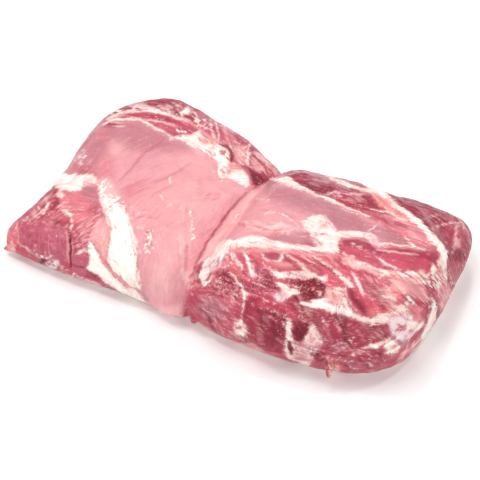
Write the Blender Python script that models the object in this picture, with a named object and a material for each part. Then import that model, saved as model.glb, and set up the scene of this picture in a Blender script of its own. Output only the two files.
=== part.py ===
"""A raw boneless pork loin, lying on its fat side with the rib side up.

The loin is one piece of meat. A deep cross crease parts a broad flat lobe on the left from a
thick rounded lobe on the right. Its length runs along X, its width along Y with the front at
-Y, and it rests on a flat underside at Z = 0. All sizes are in metres.
"""

import math

import bmesh
import bpy
import numpy as np
from mathutils import Matrix, Vector, kdtree, noise

# Ends of the loin seen from above, as (y, x) points that a smooth curve joins.
LEFT_EDGE = (
    (-0.095, -0.165),
    (-0.078, -0.171),
    (-0.055, -0.166),
    (-0.020, -0.160),
    (0.020, -0.165),
    (0.060, -0.165),
    (0.095, -0.159),
)
RIGHT_EDGE = (
    (-0.095, 0.146),
    (-0.070, 0.150),
    (-0.040, 0.155),
    (0.000, 0.158),
    (0.050, 0.157),
    (0.095, 0.160),
)
HALF_WIDTH = 0.095

# Edges of the loin seen from above, as (x, y) points that a smooth curve joins.
FRONT_EDGE = (
    (-0.165, -0.097),
    (-0.110, -0.096),
    (-0.075, -0.094),
    (-0.045, -0.093),
    (-0.022, -0.098),
    (-0.006, -0.092),
    (0.014, -0.098),
    (0.060, -0.099),
    (0.105, -0.0965),
    (0.163, -0.094),
)
BACK_EDGE = (
    (-0.162, 0.101),
    (-0.125, 0.104),
    (-0.100, 0.098),
    (-0.072, 0.089),
    (-0.045, 0.081),
    (-0.020, 0.068),
    (-0.002, 0.058),
    (0.015, 0.059),
    (0.040, 0.0615),
    (0.080, 0.069),
    (0.120, 0.080),
    (0.163, 0.086),
)

# How far each corner of the plan is drawn in, as a share of the half length and half width.
CORNER_FRONT_LEFT = 0.040
CORNER_FRONT_RIGHT = 0.130
CORNER_BACK_LEFT = 0.150
CORNER_BACK_RIGHT = 0.110
CORNER_POWER = 6

# The rounded sides: how far each reaches inwards before the top surface takes over.
FRONT_ROUND = ((-0.162, 0.022), (-0.090, 0.028), (-0.020, 0.036), (0.020, 0.044), (0.163, 0.044))
BACK_ROUND = ((-0.162, 0.026), (-0.100, 0.036), (-0.020, 0.034), (0.020, 0.040), (0.163, 0.026))
LEFT_ROUND = 0.028
RIGHT_ROUND = 0.034

# Height of the widest line of the side, the rim, along the front and along the back.
FRONT_RIM = ((-0.162, 0.011), (-0.090, 0.012), (-0.020, 0.015), (0.020, 0.021), (0.163, 0.023))
BACK_RIM = ((-0.162, 0.016), (-0.090, 0.017), (-0.010, 0.018), (0.030, 0.024), (0.163, 0.022))
RIM_BLEND = 0.090
UNDERCUT = 0.011
SPINE_HALF = 0.085

# Top of the left lobe, a slab that thins towards the left end and the front left corner.
LEFT_TOP = 0.043
LEFT_END_DROP = 0.011
LEFT_END_REACH = 0.085
FRONT_LEFT_DROP = 0.010
FRONT_LEFT_START = 0.020
FRONT_LEFT_REACH = 0.100

# Top of the right lobe, a dome with its crown near the crease.
RIGHT_TOP = 0.067
CROWN = (0.052, -0.022)
CROWN_FALL = (0.55, 1.60)

# Long shallow waves over the lobes: (height, radians a metre along x, the same along y).
LEFT_WAVES = ((0.0012, 70, 25), (0.0010, -30, 95))
RIGHT_WAVES = ((0.0010, 60, 50),)

# The crease between the lobes: its line, and the shoulder of the right lobe behind it.
CREASE_X = -0.005
CREASE_LEAN_BACK = 0.045
CREASE_LEAN_FRONT = 0.022
CREASE_FRONT_START = -0.050
CREASE_DIP = 0.006
CREASE_DIP_REACH = 0.009
SHOULDER_REACH = 0.025

# The edge where the top lobe ends on the right, with the dark lower muscle beyond it.
SHELF_EDGE = (
    (0.055, 0.055),
    (0.072, 0.044),
    (0.096, 0.042),
    (0.115, 0.035),
    (0.131, 0.024),
    (0.143, 0.010),
    (0.148, -0.010),
    (0.151, -0.030),
    (0.154, -0.060),
)
SHELF_STEP = 0.008
SHELF_STEP_REACH = 0.012
SHELF_FALL = 0.004
SHELF_FALL_REACH = 0.030

# Grid of the top surface, and the rows that turn the sides over.
COLUMNS = 86
ROWS = 51
FRONT_ROWS = 14
BACK_ROWS = 9
END_COLUMNS = 7
UNDER_RINGS = 3

# Relief of the left lobe: (how far it stands out, half width, points along it), all in mm.
# A point is a place in plan, or a place in plan and its height.
LEFT_RELIEF = {
    "fat slab": (1.8, 9, ((-113, -27), (-100, -42), (-86, -57), (-72, -76), (-60, -88))),
    "slab edge": (-1.3, 4.2, ((-116, -34), (-107, -46), (-95, -57), (-85, -68), (-78, -82))),
    "corner fat band": (1.2, 6, ((-158, -20), (-140, -27), (-122, -25))),
    "second fat strip": (1, 5, ((-91, -83), (-78, -90), (-58, -93))),
    "rib muscle patch": (1.3, 10, ((-132, -42), (-112, -48))),
    "corner fold": (-1.4, 4.2, ((-137, -51), (-131, -53), (-119, -62), (-114, -73))),
    "slit": (-2.3, 4.2, ((-114, -74), (-108, -84), (-104, -91))),
    "corner muscle": (1.5, 14, ((-148, -70), (-126, -78))),
    "fascia": (1, 4.2, ((-146, 46), (-131, 50), (-114, 45), (-83, 39), (-64, 36), (-35, 19))),
    "fascia step": (-1.3, 5, ((-118, 53), (-95, 48), (-72, 45), (-60, 41))),
    "outer lens": (1.6, 6, ((-138, 59), (-119, 61), (-92, 56), (-78, 52))),
    "long groove": (-1, 4.2, ((-103, -18), (-102, -5), (-102, 9), (-99, 21), (-94, 34))),
    "middle groove": (-0.9, 4.2, ((-95, -27), (-89, -21), (-78, -8), (-68, 0), (-62, 16))),
    "short groove": (-0.7, 4.2, ((-87, -31), (-83, -23), (-77, -19))),
    "crease fat": (1.4, 6, ((-68, 45), (-51, 44), (-38, 32), (-25, 29), (-14, 22))),
    "crescent": (-1.6, 4.2, ((-54, 51), (-45, 50), (-37, 40))),
    "muscle swell": (1.2, 22, ((-80, 10), (-45, -30), (-25, -65))),
    "back strands": (1, 4.2, ((-70, 70), (-45, 58), (-22, 44))),
    "back furrow": (-1.2, 4.2, ((-85, 78), (-55, 68), (-28, 52))),
}

# Relief of the right lobe and of the shelf, in the same form.
RIGHT_RELIEF = {
    "top fascia": (0.9, 4.2, ((0, 36), (28, 14), (45, 11), (61, 11), (83, 8), (104, 6))),
    "back muscle": (1.2, 7, ((20, 32), (45, 28), (66, 20), (90, 14))),
    "back film": (-1, 4.2, ((30, 38), (52, 32), (74, 29))),
    "top swell": (1.2, 14, ((20, -12), (45, -8), (70, 0))),
    "fat meeting": (1.6, 8, ((55, -14), (72, -16), (86, -14))),
    "front fat line": (1.4, 4.2, ((-4, -44), (10, -48), (31, -48), (52, -45), (79, -38))),
    "below fat line": (-1.2, 4.2, ((8, -57), (28, -58), (50, -54), (70, -49))),
    "rib one": (-1.4, 4.2, ((6, -60), (20, -72), (30, -78))),
    "rib two": (1.2, 4.2, ((23, -62), (31, -68), (40, -77))),
    "rib three": (-1.4, 4.2, ((32, -63), (42, -69), (54, -73), (61, -66))),
    "rib four": (1.3, 4.2, ((49, -54), (67, -60), (79, -62))),
    "rib five": (-1.3, 4.2, ((62, -52), (74, -54), (88, -57))),
    "front seam": (-1.4, 4.2, ((23, -79), (29, -84), (38, -92, 38), (38, -97, 26))),
    "oval muscle": (2.2, 9, ((50, -88, 42), (54, -95, 32), (58, -98, 24))),
    "oval edge": (-1.4, 4.2, ((66, -82), (70, -90, 38), (71, -97, 26))),
    "clot hollow": (-3.2, 6, ((66, -71), (78, -70), (88, -70))),
    "front lens": (1.8, 8, ((104, -62), (114, -60), (120, -66))),
    "front fat band": (1.3, 4.2, ((80, -81), (94, -78), (107, -75), (124, -71), (142, -61))),
    "front furrow": (-1.6, 4.2, ((104, -78), (109, -82), (116, -87))),
    "corner hollow": (-1.4, 7, ((134, -66), (146, -54), (150, -46))),
    "corner bump": (1.6, 4.2, ((139, -77), (146, -71))),
    "end lens one": (1.5, 5, ((82, -28), (100, -20), (122, -14), (142, 0))),
    "end groove": (-1.3, 4.2, ((92, -33), (112, -25), (130, -18), (146, -8))),
    "end lens two": (1.3, 5, ((104, -38), (122, -32), (140, -22))),
    "edge fat": (1.6, 4.2, ((76, 35), (97, 32), (118, 26), (134, 18), (146, 6), (150, -12))),
    "edge furrow": (-1.4, 4.2, ((72, 52), (98, 49), (120, 42), (138, 29), (150, 14))),
    "shelf swell": (1.6, 8, ((100, 62), (125, 60), (144, 44))),
    "shelf groove": (-1.2, 4.2, ((128, 34), (134, 46), (142, 66))),
    "end strip": (1.2, 4.2, ((150, -52), (152, -34), (152, -20))),
}

# Small uneven swellings over the whole loin: (how far, size), both in metres.
UNEVEN = ((0.0014, 0.038), (0.0008, 0.016))
BARE_HEIGHT = 0.003
RELIEF_RISE = 0.008
FACING_UP = 0.05

# Loose shreds fused to the lower edge: (name, root, tip, root radius, flatness), in mm.
SHREDS = (
    ("tassel", (104, -88, 21), (109, -101, 13), 3.2, 0.45),
    ("left nub", (-149, -82, 7), (-165, -93, 5), 4.0, 0.8),
    ("crease lump", (-8, -82, 12), (-11, -96, 10), 5.0, 0.8),
    ("crease shred", (2, -84, 13), (0, -98, 11), 4.6, 0.7),
)
SHRED_SIDES = 10
SHRED_RINGS = 6
SHRED_TIP = 0.75
SHRED_BLUNT = 0.45
MM = 0.001

# Look of the meat.
PORK_PINK = (0.72, 0.31, 0.33, 1.0)
MOIST_ROUGHNESS = 0.35


def smooth(value):
    """A soft step from 0 to 1."""
    held = min(1.0, max(0.0, value))
    return held * held * (3 - 2 * held)


def through(points, x):
    """The height at x of a smooth curve through (x, y) points, held level past its ends."""
    if x <= points[0][0]:
        return points[0][1]
    if x >= points[-1][0]:
        return points[-1][1]
    last = len(points) - 1
    i = next(k for k in range(last) if x <= points[k + 1][0])
    (x0, y0), (x1, y1) = points[i], points[i + 1]
    before, after = points[max(i - 1, 0)], points[min(i + 2, last)]
    span = x1 - x0
    slope0 = (y1 - before[1]) / (x1 - before[0])
    slope1 = (after[1] - y0) / (after[0] - x0)
    t = (x - x0) / span
    return (
        (2 * t**3 - 3 * t**2 + 1) * y0
        + (t**3 - 2 * t**2 + t) * span * slope0
        + (3 * t**2 - 2 * t**3) * y1
        + (t**3 - t**2) * span * slope1
    )


def corner_draw(u, v):
    """How far the corner nearest (u, v) is drawn in, blended between the four."""
    right, back = (u + 1) / 2, (v + 1) / 2
    front = CORNER_FRONT_LEFT * (1 - right) + CORNER_FRONT_RIGHT * right
    rear = CORNER_BACK_LEFT * (1 - right) + CORNER_BACK_RIGHT * right
    return front * (1 - back) + rear * back


def plan_point(u, v):
    """The place seen from above of the surface point (u, v), each from -1 to 1."""
    draw = corner_draw(u, v)
    along = u * (1 - draw * abs(v) ** CORNER_POWER)
    across = v * (1 - draw * abs(u) ** CORNER_POWER)
    left = through(LEFT_EDGE, across * HALF_WIDTH)
    right = through(RIGHT_EDGE, across * HALF_WIDTH)
    x = left + (along + 1) / 2 * (right - left)
    front, back = through(FRONT_EDGE, x), through(BACK_EDGE, x)
    return x, front + (across + 1) / 2 * (back - front)


def crease_x(y):
    """Where the crease lies at y."""
    back_lean = CREASE_LEAN_BACK * max(0.0, y)
    front_lean = CREASE_LEAN_FRONT * max(0.0, CREASE_FRONT_START - y)
    return CREASE_X + back_lean - front_lean


def beyond_shelf_edge(x, y):
    """How far (x, y) lies past the shelf edge, on its outer side."""
    here = Vector((x, y))
    best, side = 1.0, -1.0
    for start, end in zip(SHELF_EDGE, SHELF_EDGE[1:]):
        a, b = Vector(start), Vector(end)
        run = b - a
        t = min(1.0, max(0.0, (here - a).dot(run) / run.length_squared))
        gap = here - (a + t * run)
        if gap.length < best:
            best = gap.length
            side = 1.0 if run.cross(gap) > 0 else -1.0
    return best * side


def swell(waves, x, y):
    """Sum at (x, y) of long shallow waves, each (height, turns along x, turns along y)."""
    return sum(height * math.sin(along * x + across * y) for height, along, across in waves)


def left_height(x, y):
    """Height of the left lobe's top."""
    end = smooth((LEFT_EDGE[0][1] + LEFT_END_REACH - x) / LEFT_END_REACH)
    corner = end * smooth((FRONT_LEFT_START - y) / FRONT_LEFT_REACH)
    return LEFT_TOP - LEFT_END_DROP * end - FRONT_LEFT_DROP * corner + swell(LEFT_WAVES, x, y)


def right_height(x, y):
    """Height of the right lobe's top, with the step down to the shelf past its edge."""
    dx, dy = x - CROWN[0], y - CROWN[1]
    dome = RIGHT_TOP - CROWN_FALL[0] * dx * dx - CROWN_FALL[1] * dy * dy
    past = beyond_shelf_edge(x, y)
    dome -= SHELF_STEP * smooth(past / SHELF_STEP_REACH)
    dome -= SHELF_FALL * smooth(past / SHELF_FALL_REACH)
    return dome + swell(RIGHT_WAVES, x, y)


def top_height(x, y):
    """Height of the whole top surface, with the crease between the lobes."""
    past = x - crease_x(y)
    if past < 0:
        return left_height(x, y) - CREASE_DIP * math.exp(past / CREASE_DIP_REACH)
    floor = left_height(crease_x(y), y) - CREASE_DIP
    rise = math.sin(math.pi / 2 * min(1.0, past / SHOULDER_REACH))
    return floor + (right_height(x, y) - floor) * rise


def graded(count, low_rows, high_rows, low_round, high_round):
    """Positions from -1 to 1 and their side factors: rows close up over the rounded sides."""
    steps = []
    low_end, high_start = -1 + low_round, 1 - high_round
    for i in range(count + 1):
        if i < low_rows:
            angle = math.pi / 2 * i / low_rows
            steps.append((-1 + low_round * (1 - math.cos(angle)), math.sin(angle)))
        elif i > count - high_rows:
            angle = math.pi / 2 * (count - i) / high_rows
            steps.append((1 - high_round * (1 - math.cos(angle)), math.sin(angle)))
        else:
            share = (i - low_rows) / (count - low_rows - high_rows)
            steps.append((low_end + share * (high_start - low_end), 1.0))
    return steps


def rim_height(x, y):
    """Height of the rim at the edge point (x, y), blended from front to back."""
    back_share = smooth((y + RIM_BLEND) / (2 * RIM_BLEND))
    return through(FRONT_RIM, x) * (1 - back_share) + through(BACK_RIM, x) * back_share


def column_params():
    """Grid columns from left to right as (u, side factor)."""
    half = (RIGHT_EDGE[0][1] - LEFT_EDGE[0][1]) / 2
    return graded(COLUMNS, END_COLUMNS, END_COLUMNS, LEFT_ROUND / half, RIGHT_ROUND / half)


def row_params(u):
    """Grid rows from front to back at column u as (v, side factor)."""
    x, front = plan_point(u, -1.0)
    back = plan_point(u, 1.0)[1]
    half = (back - front) / 2
    low_round, high_round = through(FRONT_ROUND, x) / half, through(BACK_ROUND, x) / half
    return graded(ROWS, FRONT_ROWS, BACK_ROWS, low_round, high_round)


def surface_point(u, v, side):
    """A point of the upper surface, from its plan place and its side factor."""
    x, y = plan_point(u, v)
    rim = rim_height(x, y)
    return Vector((x, y, rim + (top_height(x, y) - rim) * side))


def add_upper_surface(bm):
    """The top and upper sides as one grid. Returns its border, in order round the loin."""
    grid = []
    for u, end_side in column_params():
        column = []
        for v, row_side in row_params(u):
            column.append(bm.verts.new(surface_point(u, v, end_side * row_side)))
        grid.append(column)
    for left, right in zip(grid, grid[1:]):
        for j in range(ROWS):
            bm.faces.new((left[j], right[j], right[j + 1], left[j + 1]))
    border = [grid[i][0] for i in range(COLUMNS)]
    border += [grid[COLUMNS][j] for j in range(ROWS)]
    border += [grid[i][ROWS] for i in range(COLUMNS, 0, -1)]
    border += [grid[0][j] for j in range(ROWS, 0, -1)]
    return border


def toward_spine(place):
    """Level direction from a place on the rim towards the middle line of the loin."""
    nearest = min(SPINE_HALF, max(-SPINE_HALF, place.x))
    return Vector((nearest - place.x, -place.y, 0)).normalized()


def add_underside(bm, border):
    """The undercut rings below the rim, closed by the flat that the loin rests on."""
    count = len(border)
    rim = [vert.co.copy() for vert in border]
    ring = border
    for k in range(1, UNDER_RINGS + 1):
        angle = math.pi / 2 * k / UNDER_RINGS
        lower = []
        for place in rim:
            inner = place + toward_spine(place) * UNDERCUT * (1 - math.cos(angle))
            inner.z = place.z * (1 - math.sin(angle))
            lower.append(bm.verts.new(inner))
        for i in range(count):
            j = (i + 1) % count
            bm.faces.new((ring[j], ring[i], lower[i], lower[j]))
        ring = lower
    bm.faces.new(reversed(ring))


def polyline_distance(places, line):
    """Distance from each of an array of places to a line of 3-D points."""
    nearest = np.full(len(places), np.inf)
    for start, end in zip(line, line[1:]):
        run = end - start
        share = np.clip((places - start) @ run / (run @ run), 0, 1)
        gap = places - start - share[:, None] * run
        nearest = np.minimum(nearest, np.linalg.norm(gap, axis=1))
    return nearest


def lifted(points, tree, heights):
    """Relief points in metres, each plan point raised to the height of the surface there."""
    line = []
    for point in points:
        place = [value * MM for value in point]
        if len(place) == 2:
            place.append(heights[tree.find((place[0], place[1], 0))[1]])
        line.append(np.array(place))
    return line


def add_relief(bm):
    """Raise muscles and fat, and sink grooves, along the normals of the surface."""
    bm.normal_update()
    bm.verts.index_update()
    heights = {}
    tree = kdtree.KDTree(len(bm.verts))
    for vert in bm.verts:
        if vert.normal.z > FACING_UP:
            tree.insert((vert.co.x, vert.co.y, 0), vert.index)
            heights[vert.index] = vert.co.z
    tree.balance()
    places = np.array([tuple(vert.co) for vert in bm.verts])
    amount = np.zeros(len(places))
    for rise, width, points in (*LEFT_RELIEF.values(), *RIGHT_RELIEF.values()):
        line = lifted(points, tree, heights)
        gap = polyline_distance(places, line) / (width * MM)
        amount += rise * MM * np.exp(-gap * gap)
    for rise, size in UNEVEN:
        amount += [rise * noise.noise(vert.co / size) for vert in bm.verts]
    normals = [vert.normal.copy() for vert in bm.verts]
    for vert, normal, step in zip(bm.verts, normals, amount):
        fade = smooth((vert.co.z - BARE_HEIGHT) / RELIEF_RISE)
        vert.co += normal * float(step) * fade


def add_shred(name, root, tip, radius, flatness, home):
    """One tapering, flattened shred of meat or fat as a closed mesh object."""
    root, tip = Vector(root) * MM, Vector(tip) * MM
    axis = (tip - root).normalized()
    side = axis.cross(Vector((0, 0, 1))).normalized()
    thin = side.cross(axis)
    bm = bmesh.new()
    ends = [bm.verts.new(root), bm.verts.new(tip)]
    rings = []
    for k in range(1, SHRED_RINGS + 1):
        along = k / (SHRED_RINGS + 1)
        taper = 1 - (1 - SHRED_TIP) * along
        wide = radius * MM * taper * math.sin(math.pi * along) ** SHRED_BLUNT
        ring = []
        for n in range(SHRED_SIDES):
            angle = 2 * math.pi * n / SHRED_SIDES
            spoke = side * math.cos(angle) + thin * math.sin(angle) * flatness
            ring.append(bm.verts.new(root.lerp(tip, along) + spoke * wide))
        rings.append(ring)
    for n in range(SHRED_SIDES):
        m = (n + 1) % SHRED_SIDES
        bm.faces.new((ends[0], rings[0][m], rings[0][n]))
        bm.faces.new((ends[1], rings[-1][n], rings[-1][m]))
        for low, high in zip(rings, rings[1:]):
            bm.faces.new((low[n], low[m], high[m], high[n]))
    bmesh.ops.recalc_face_normals(bm, faces=bm.faces)
    mesh = bpy.data.meshes.new(name)
    bm.to_mesh(mesh)
    bm.free()
    home.objects.link(bpy.data.objects.new(name, mesh))


def fuse_shreds(loin):
    """Join the loose shreds to the loin as one solid."""
    home = bpy.data.collections.new("shreds")
    bpy.context.scene.collection.children.link(home)
    for shred in SHREDS:
        add_shred(*shred, home)
    union = loin.modifiers.new("shreds", "BOOLEAN")
    union.operation = "UNION"
    union.solver = "EXACT"
    union.operand_type = "COLLECTION"
    union.collection = home
    bpy.context.view_layer.objects.active = loin
    bpy.ops.object.modifier_apply(modifier=union.name)
    for shred in list(home.objects):
        bpy.data.objects.remove(shred)
    bpy.data.collections.remove(home)


def meat_material():
    """Raw pork: pink, moist and slightly glossy."""
    material = bpy.data.materials.new("raw_pork")
    material.use_nodes = True
    shader = material.node_tree.nodes["Principled BSDF"]
    shader.inputs["Base Color"].default_value = PORK_PINK
    shader.inputs["Roughness"].default_value = MOIST_ROUGHNESS
    shader.inputs["Metallic"].default_value = 0.0
    return material


def centre_plan(mesh):
    """Move the mesh so that the middle of its plan is at the origin."""
    xs = [vert.co.x for vert in mesh.vertices]
    ys = [vert.co.y for vert in mesh.vertices]
    middle = Vector((min(xs) + max(xs), min(ys) + max(ys), 0)) / 2
    mesh.transform(Matrix.Translation(-middle))


def build_loin():
    """The loin as one closed mesh object, centred on its bounding box and standing on Z = 0."""
    bm = bmesh.new()
    border = add_upper_surface(bm)
    add_underside(bm, border)
    bmesh.ops.recalc_face_normals(bm, faces=bm.faces)
    add_relief(bm)
    mesh = bpy.data.meshes.new("loin")
    bm.to_mesh(mesh)
    bm.free()
    mesh.shade_smooth()
    mesh.materials.append(meat_material())
    loin = bpy.data.objects.new("loin", mesh)
    bpy.context.scene.collection.objects.link(loin)
    fuse_shreds(loin)
    centre_plan(mesh)


def main():
    """Clear the file and build the loin."""
    for old in list(bpy.data.objects):
        bpy.data.objects.remove(old)
    build_loin()


main()
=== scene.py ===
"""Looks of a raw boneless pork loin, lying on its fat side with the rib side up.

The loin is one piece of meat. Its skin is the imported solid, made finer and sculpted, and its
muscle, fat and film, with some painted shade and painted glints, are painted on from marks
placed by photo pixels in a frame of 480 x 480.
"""

import logging
import math
from dataclasses import dataclass
from enum import Enum

import bmesh
import bpy
import numpy as np
from mathutils import Matrix, Vector, kdtree, noise


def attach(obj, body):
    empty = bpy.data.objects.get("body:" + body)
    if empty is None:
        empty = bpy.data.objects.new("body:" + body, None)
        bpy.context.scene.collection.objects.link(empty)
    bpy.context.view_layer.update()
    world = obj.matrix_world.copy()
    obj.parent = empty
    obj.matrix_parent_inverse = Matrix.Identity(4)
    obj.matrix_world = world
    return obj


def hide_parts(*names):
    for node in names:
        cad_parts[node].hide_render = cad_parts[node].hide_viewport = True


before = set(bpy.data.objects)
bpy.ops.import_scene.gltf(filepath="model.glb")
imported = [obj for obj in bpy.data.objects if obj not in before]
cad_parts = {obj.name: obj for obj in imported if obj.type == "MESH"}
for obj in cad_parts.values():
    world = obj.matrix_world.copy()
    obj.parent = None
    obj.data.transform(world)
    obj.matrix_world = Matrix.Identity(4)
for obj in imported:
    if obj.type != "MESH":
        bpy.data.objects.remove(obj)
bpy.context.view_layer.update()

LOG = logging.getLogger("pork_loin")
FRAME_PIXELS = 480
MM = 0.001

# The curve that sRGB codes follow: its straight foot, and the power above that.
FOOT_END = 0.04045
FOOT_SLOPE = 12.92
CURVE_SHIFT = 0.055
CURVE_POWER = 2.4

NodeTree = bpy.types.NodeTree
Socket = bpy.types.NodeSocket
Paint = dict[str, Socket]
Parts = tuple[tuple[str, float], ...]
Links = dict[str | int, object]


def linear(code: str) -> tuple[float, float, float, float]:
    """Turn an sRGB hex colour into linear light.

    Args:
        code: The colour as "#RRGGBB".

    Returns:
        Red, green and blue in linear light, and an alpha of 1.
    """
    shares = np.array([int(code[i : i + 2], 16) / 255 for i in (1, 3, 5)])
    curved = ((shares + CURVE_SHIFT) / (1 + CURVE_SHIFT)) ** CURVE_POWER
    red, green, blue = np.where(shares <= FOOT_END, shares / FOOT_SLOPE, curved).tolist()
    return red, green, blue, 1.0


def soft_step(values: np.ndarray) -> np.ndarray:
    """A soft step from 0 to 1 as values go from 0 to 1."""
    held = np.clip(values, 0.0, 1.0)
    return held * held * (3 - 2 * held)


@dataclass(frozen=True)
class Look:
    """How one kind of tissue looks.

    tone: Colour of the lean in it. fat: Cover of fat. warm: How salmon the fat is.
    film: Cover of silver skin. marble: Flecks of fat. crumb: Wet torn grain and its painted glints.
    grain: How strongly its fibres show. rise: How far it stands out, in millimetres.
    feather: How many times softer than its mark its edge is, so that the grain can break it up.
    Each one between tone and rise is a share from 0 to 1.
    """

    tone: str
    fat: float = 0.0
    warm: float = 0.3
    film: float = 0.0
    marble: float = 0.0
    crumb: float = 0.0
    grain: float = 1.0
    rise: float = 0.0
    feather: float = 1.5


class Tissue(Enum):
    """The tissues that the cut shows, from pale eye muscle to clotted blood and fat."""

    PALE = Look("#DE979E", marble=0.10, grain=0.15)
    BLOOM = Look("#EBA0A0", marble=0.1, warm=0.8, grain=0.3)
    BLUSH = Look("#F6C4BF", film=0.1, grain=0.4)
    ROSE = Look("#D97C87", marble=0.15, grain=0.4)
    CORAL = Look("#E27880", marble=0.1, grain=0.8)
    RED = Look("#CE5363", marble=0.15, grain=0.9)
    LEAN = Look("#BA495F", marble=0.15, grain=0.7)
    SLEEK = Look("#CB5364", marble=0.08, grain=0.3)
    WINE = Look("#A83A50", marble=0.06, grain=0.3)
    PLUM = Look("#BF5E72", marble=0.12, grain=0.4)
    DARK = Look("#A02C43", marble=0.1, grain=0.8, rise=-0.1)
    DEEP = Look("#7A182C", marble=0.05, grain=0.7, rise=-0.2)
    MAUVE = Look("#BC747E", marble=0.1, grain=0.3)
    DUSK = Look("#B57A86", film=0.2, grain=0.6)
    CRUMB = Look("#CE5A6E", marble=0.3, crumb=0.6, rise=-0.1)
    CLOT = Look("#90182E", crumb=0.8, rise=-0.4)
    # The slit's dark red is painted shade inside the narrow cut, laid over a real groove.
    SLIT = Look("#721428", rise=-0.9, feather=1.0)
    FAT = Look("#EFABAA", fat=1.0, warm=0.0, grain=0.7, rise=0.25, feather=2.6)
    CREAM = Look("#E89798", fat=0.95, warm=0.35, grain=0.8, rise=0.2, feather=2.6)
    EMBER = Look("#E9827F", fat=0.2, warm=1.0, grain=0.6)
    SALMON = Look("#EC9390", fat=0.7, warm=1.0, grain=0.8, rise=0.15, feather=2.2)
    FILM = Look("#DD9FA9", film=1.0, grain=0.7, rise=0.1, feather=2.6)


# Short names of the tissues, in their order, for the tables of marks.
(
    PALE, BLOOM, BLUSH, ROSE, CORAL, RED, LEAN, SLEEK, WINE, PLUM, DARK,
    DEEP, MAUVE, DUSK, CRUMB, CLOT, SLIT, FAT, CREAM, EMBER, SALMON, FILM,
) = Tissue


@dataclass(frozen=True)
class Mark:
    """One patch or line of tissue, placed by photo pixels.

    tissue: What it is. path: Its outline or middle line, as "x,y x,y" in pixels.
    width: Width of a line in pixels, or 0 for a closed patch. soft: Pixels that its edge fades
    over. cover: How much of what lies under it is hidden. rise: Extra height in millimetres.
    """

    tissue: Tissue
    path: str
    width: float = 0.0
    soft: float = 2.0
    cover: float = 1.0
    rise: float = 0.0


@dataclass(frozen=True)
class Flecks:
    """Many short strokes of tissue inside a patch.

    tissue: What they are. path: The patch's outline, as "x,y x,y" in pixels. count: How many.
    length and width: Size of one in pixels. angle: Its slope in degrees, up to the right.
    spread: How far the slope varies. cover: How much of what lies under is hidden.
    """

    tissue: Tissue
    path: str
    count: int
    length: float = 4.0
    width: float = 1.4
    angle: float = 0.0
    spread: float = 25.0
    cover: float = 0.8


def patch(tissue: Tissue, path: str, soft: float = 2.0, cover: float = 1.0, rise: float = 0.0) -> Mark:
    """A closed patch of tissue."""
    return Mark(tissue, path, 0.0, soft, cover, rise)


def line(tissue: Tissue, path: str, width: float = 2.0, cover: float = 1.0, rise: float = 0.0) -> Mark:
    """A strand or groove of tissue that thins towards its ends."""
    return Mark(tissue, path, width, 1.4, cover, rise)


# The three large forms, which every other mark lies on.
GROUNDS = {
    "left lobe": patch(
        PALE,
        "30,195 40,110 100,85 210,85 295,165 284,175 256,187 232,210 208,243 192,273 184,330 140,305 "
        "100,285 98,190",
    ),
    "left corner": patch(LEAN, "0,310 0,180 54,186 62,190 98,187 104,214 112,232 108,262 130,285 118,300"),
    "right lobe": patch(
        LEAN, "295,165 284,173 256,187 232,210 208,243 192,273 184,325 184,400 480,400 480,150 300,150"
    ),
}

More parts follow.
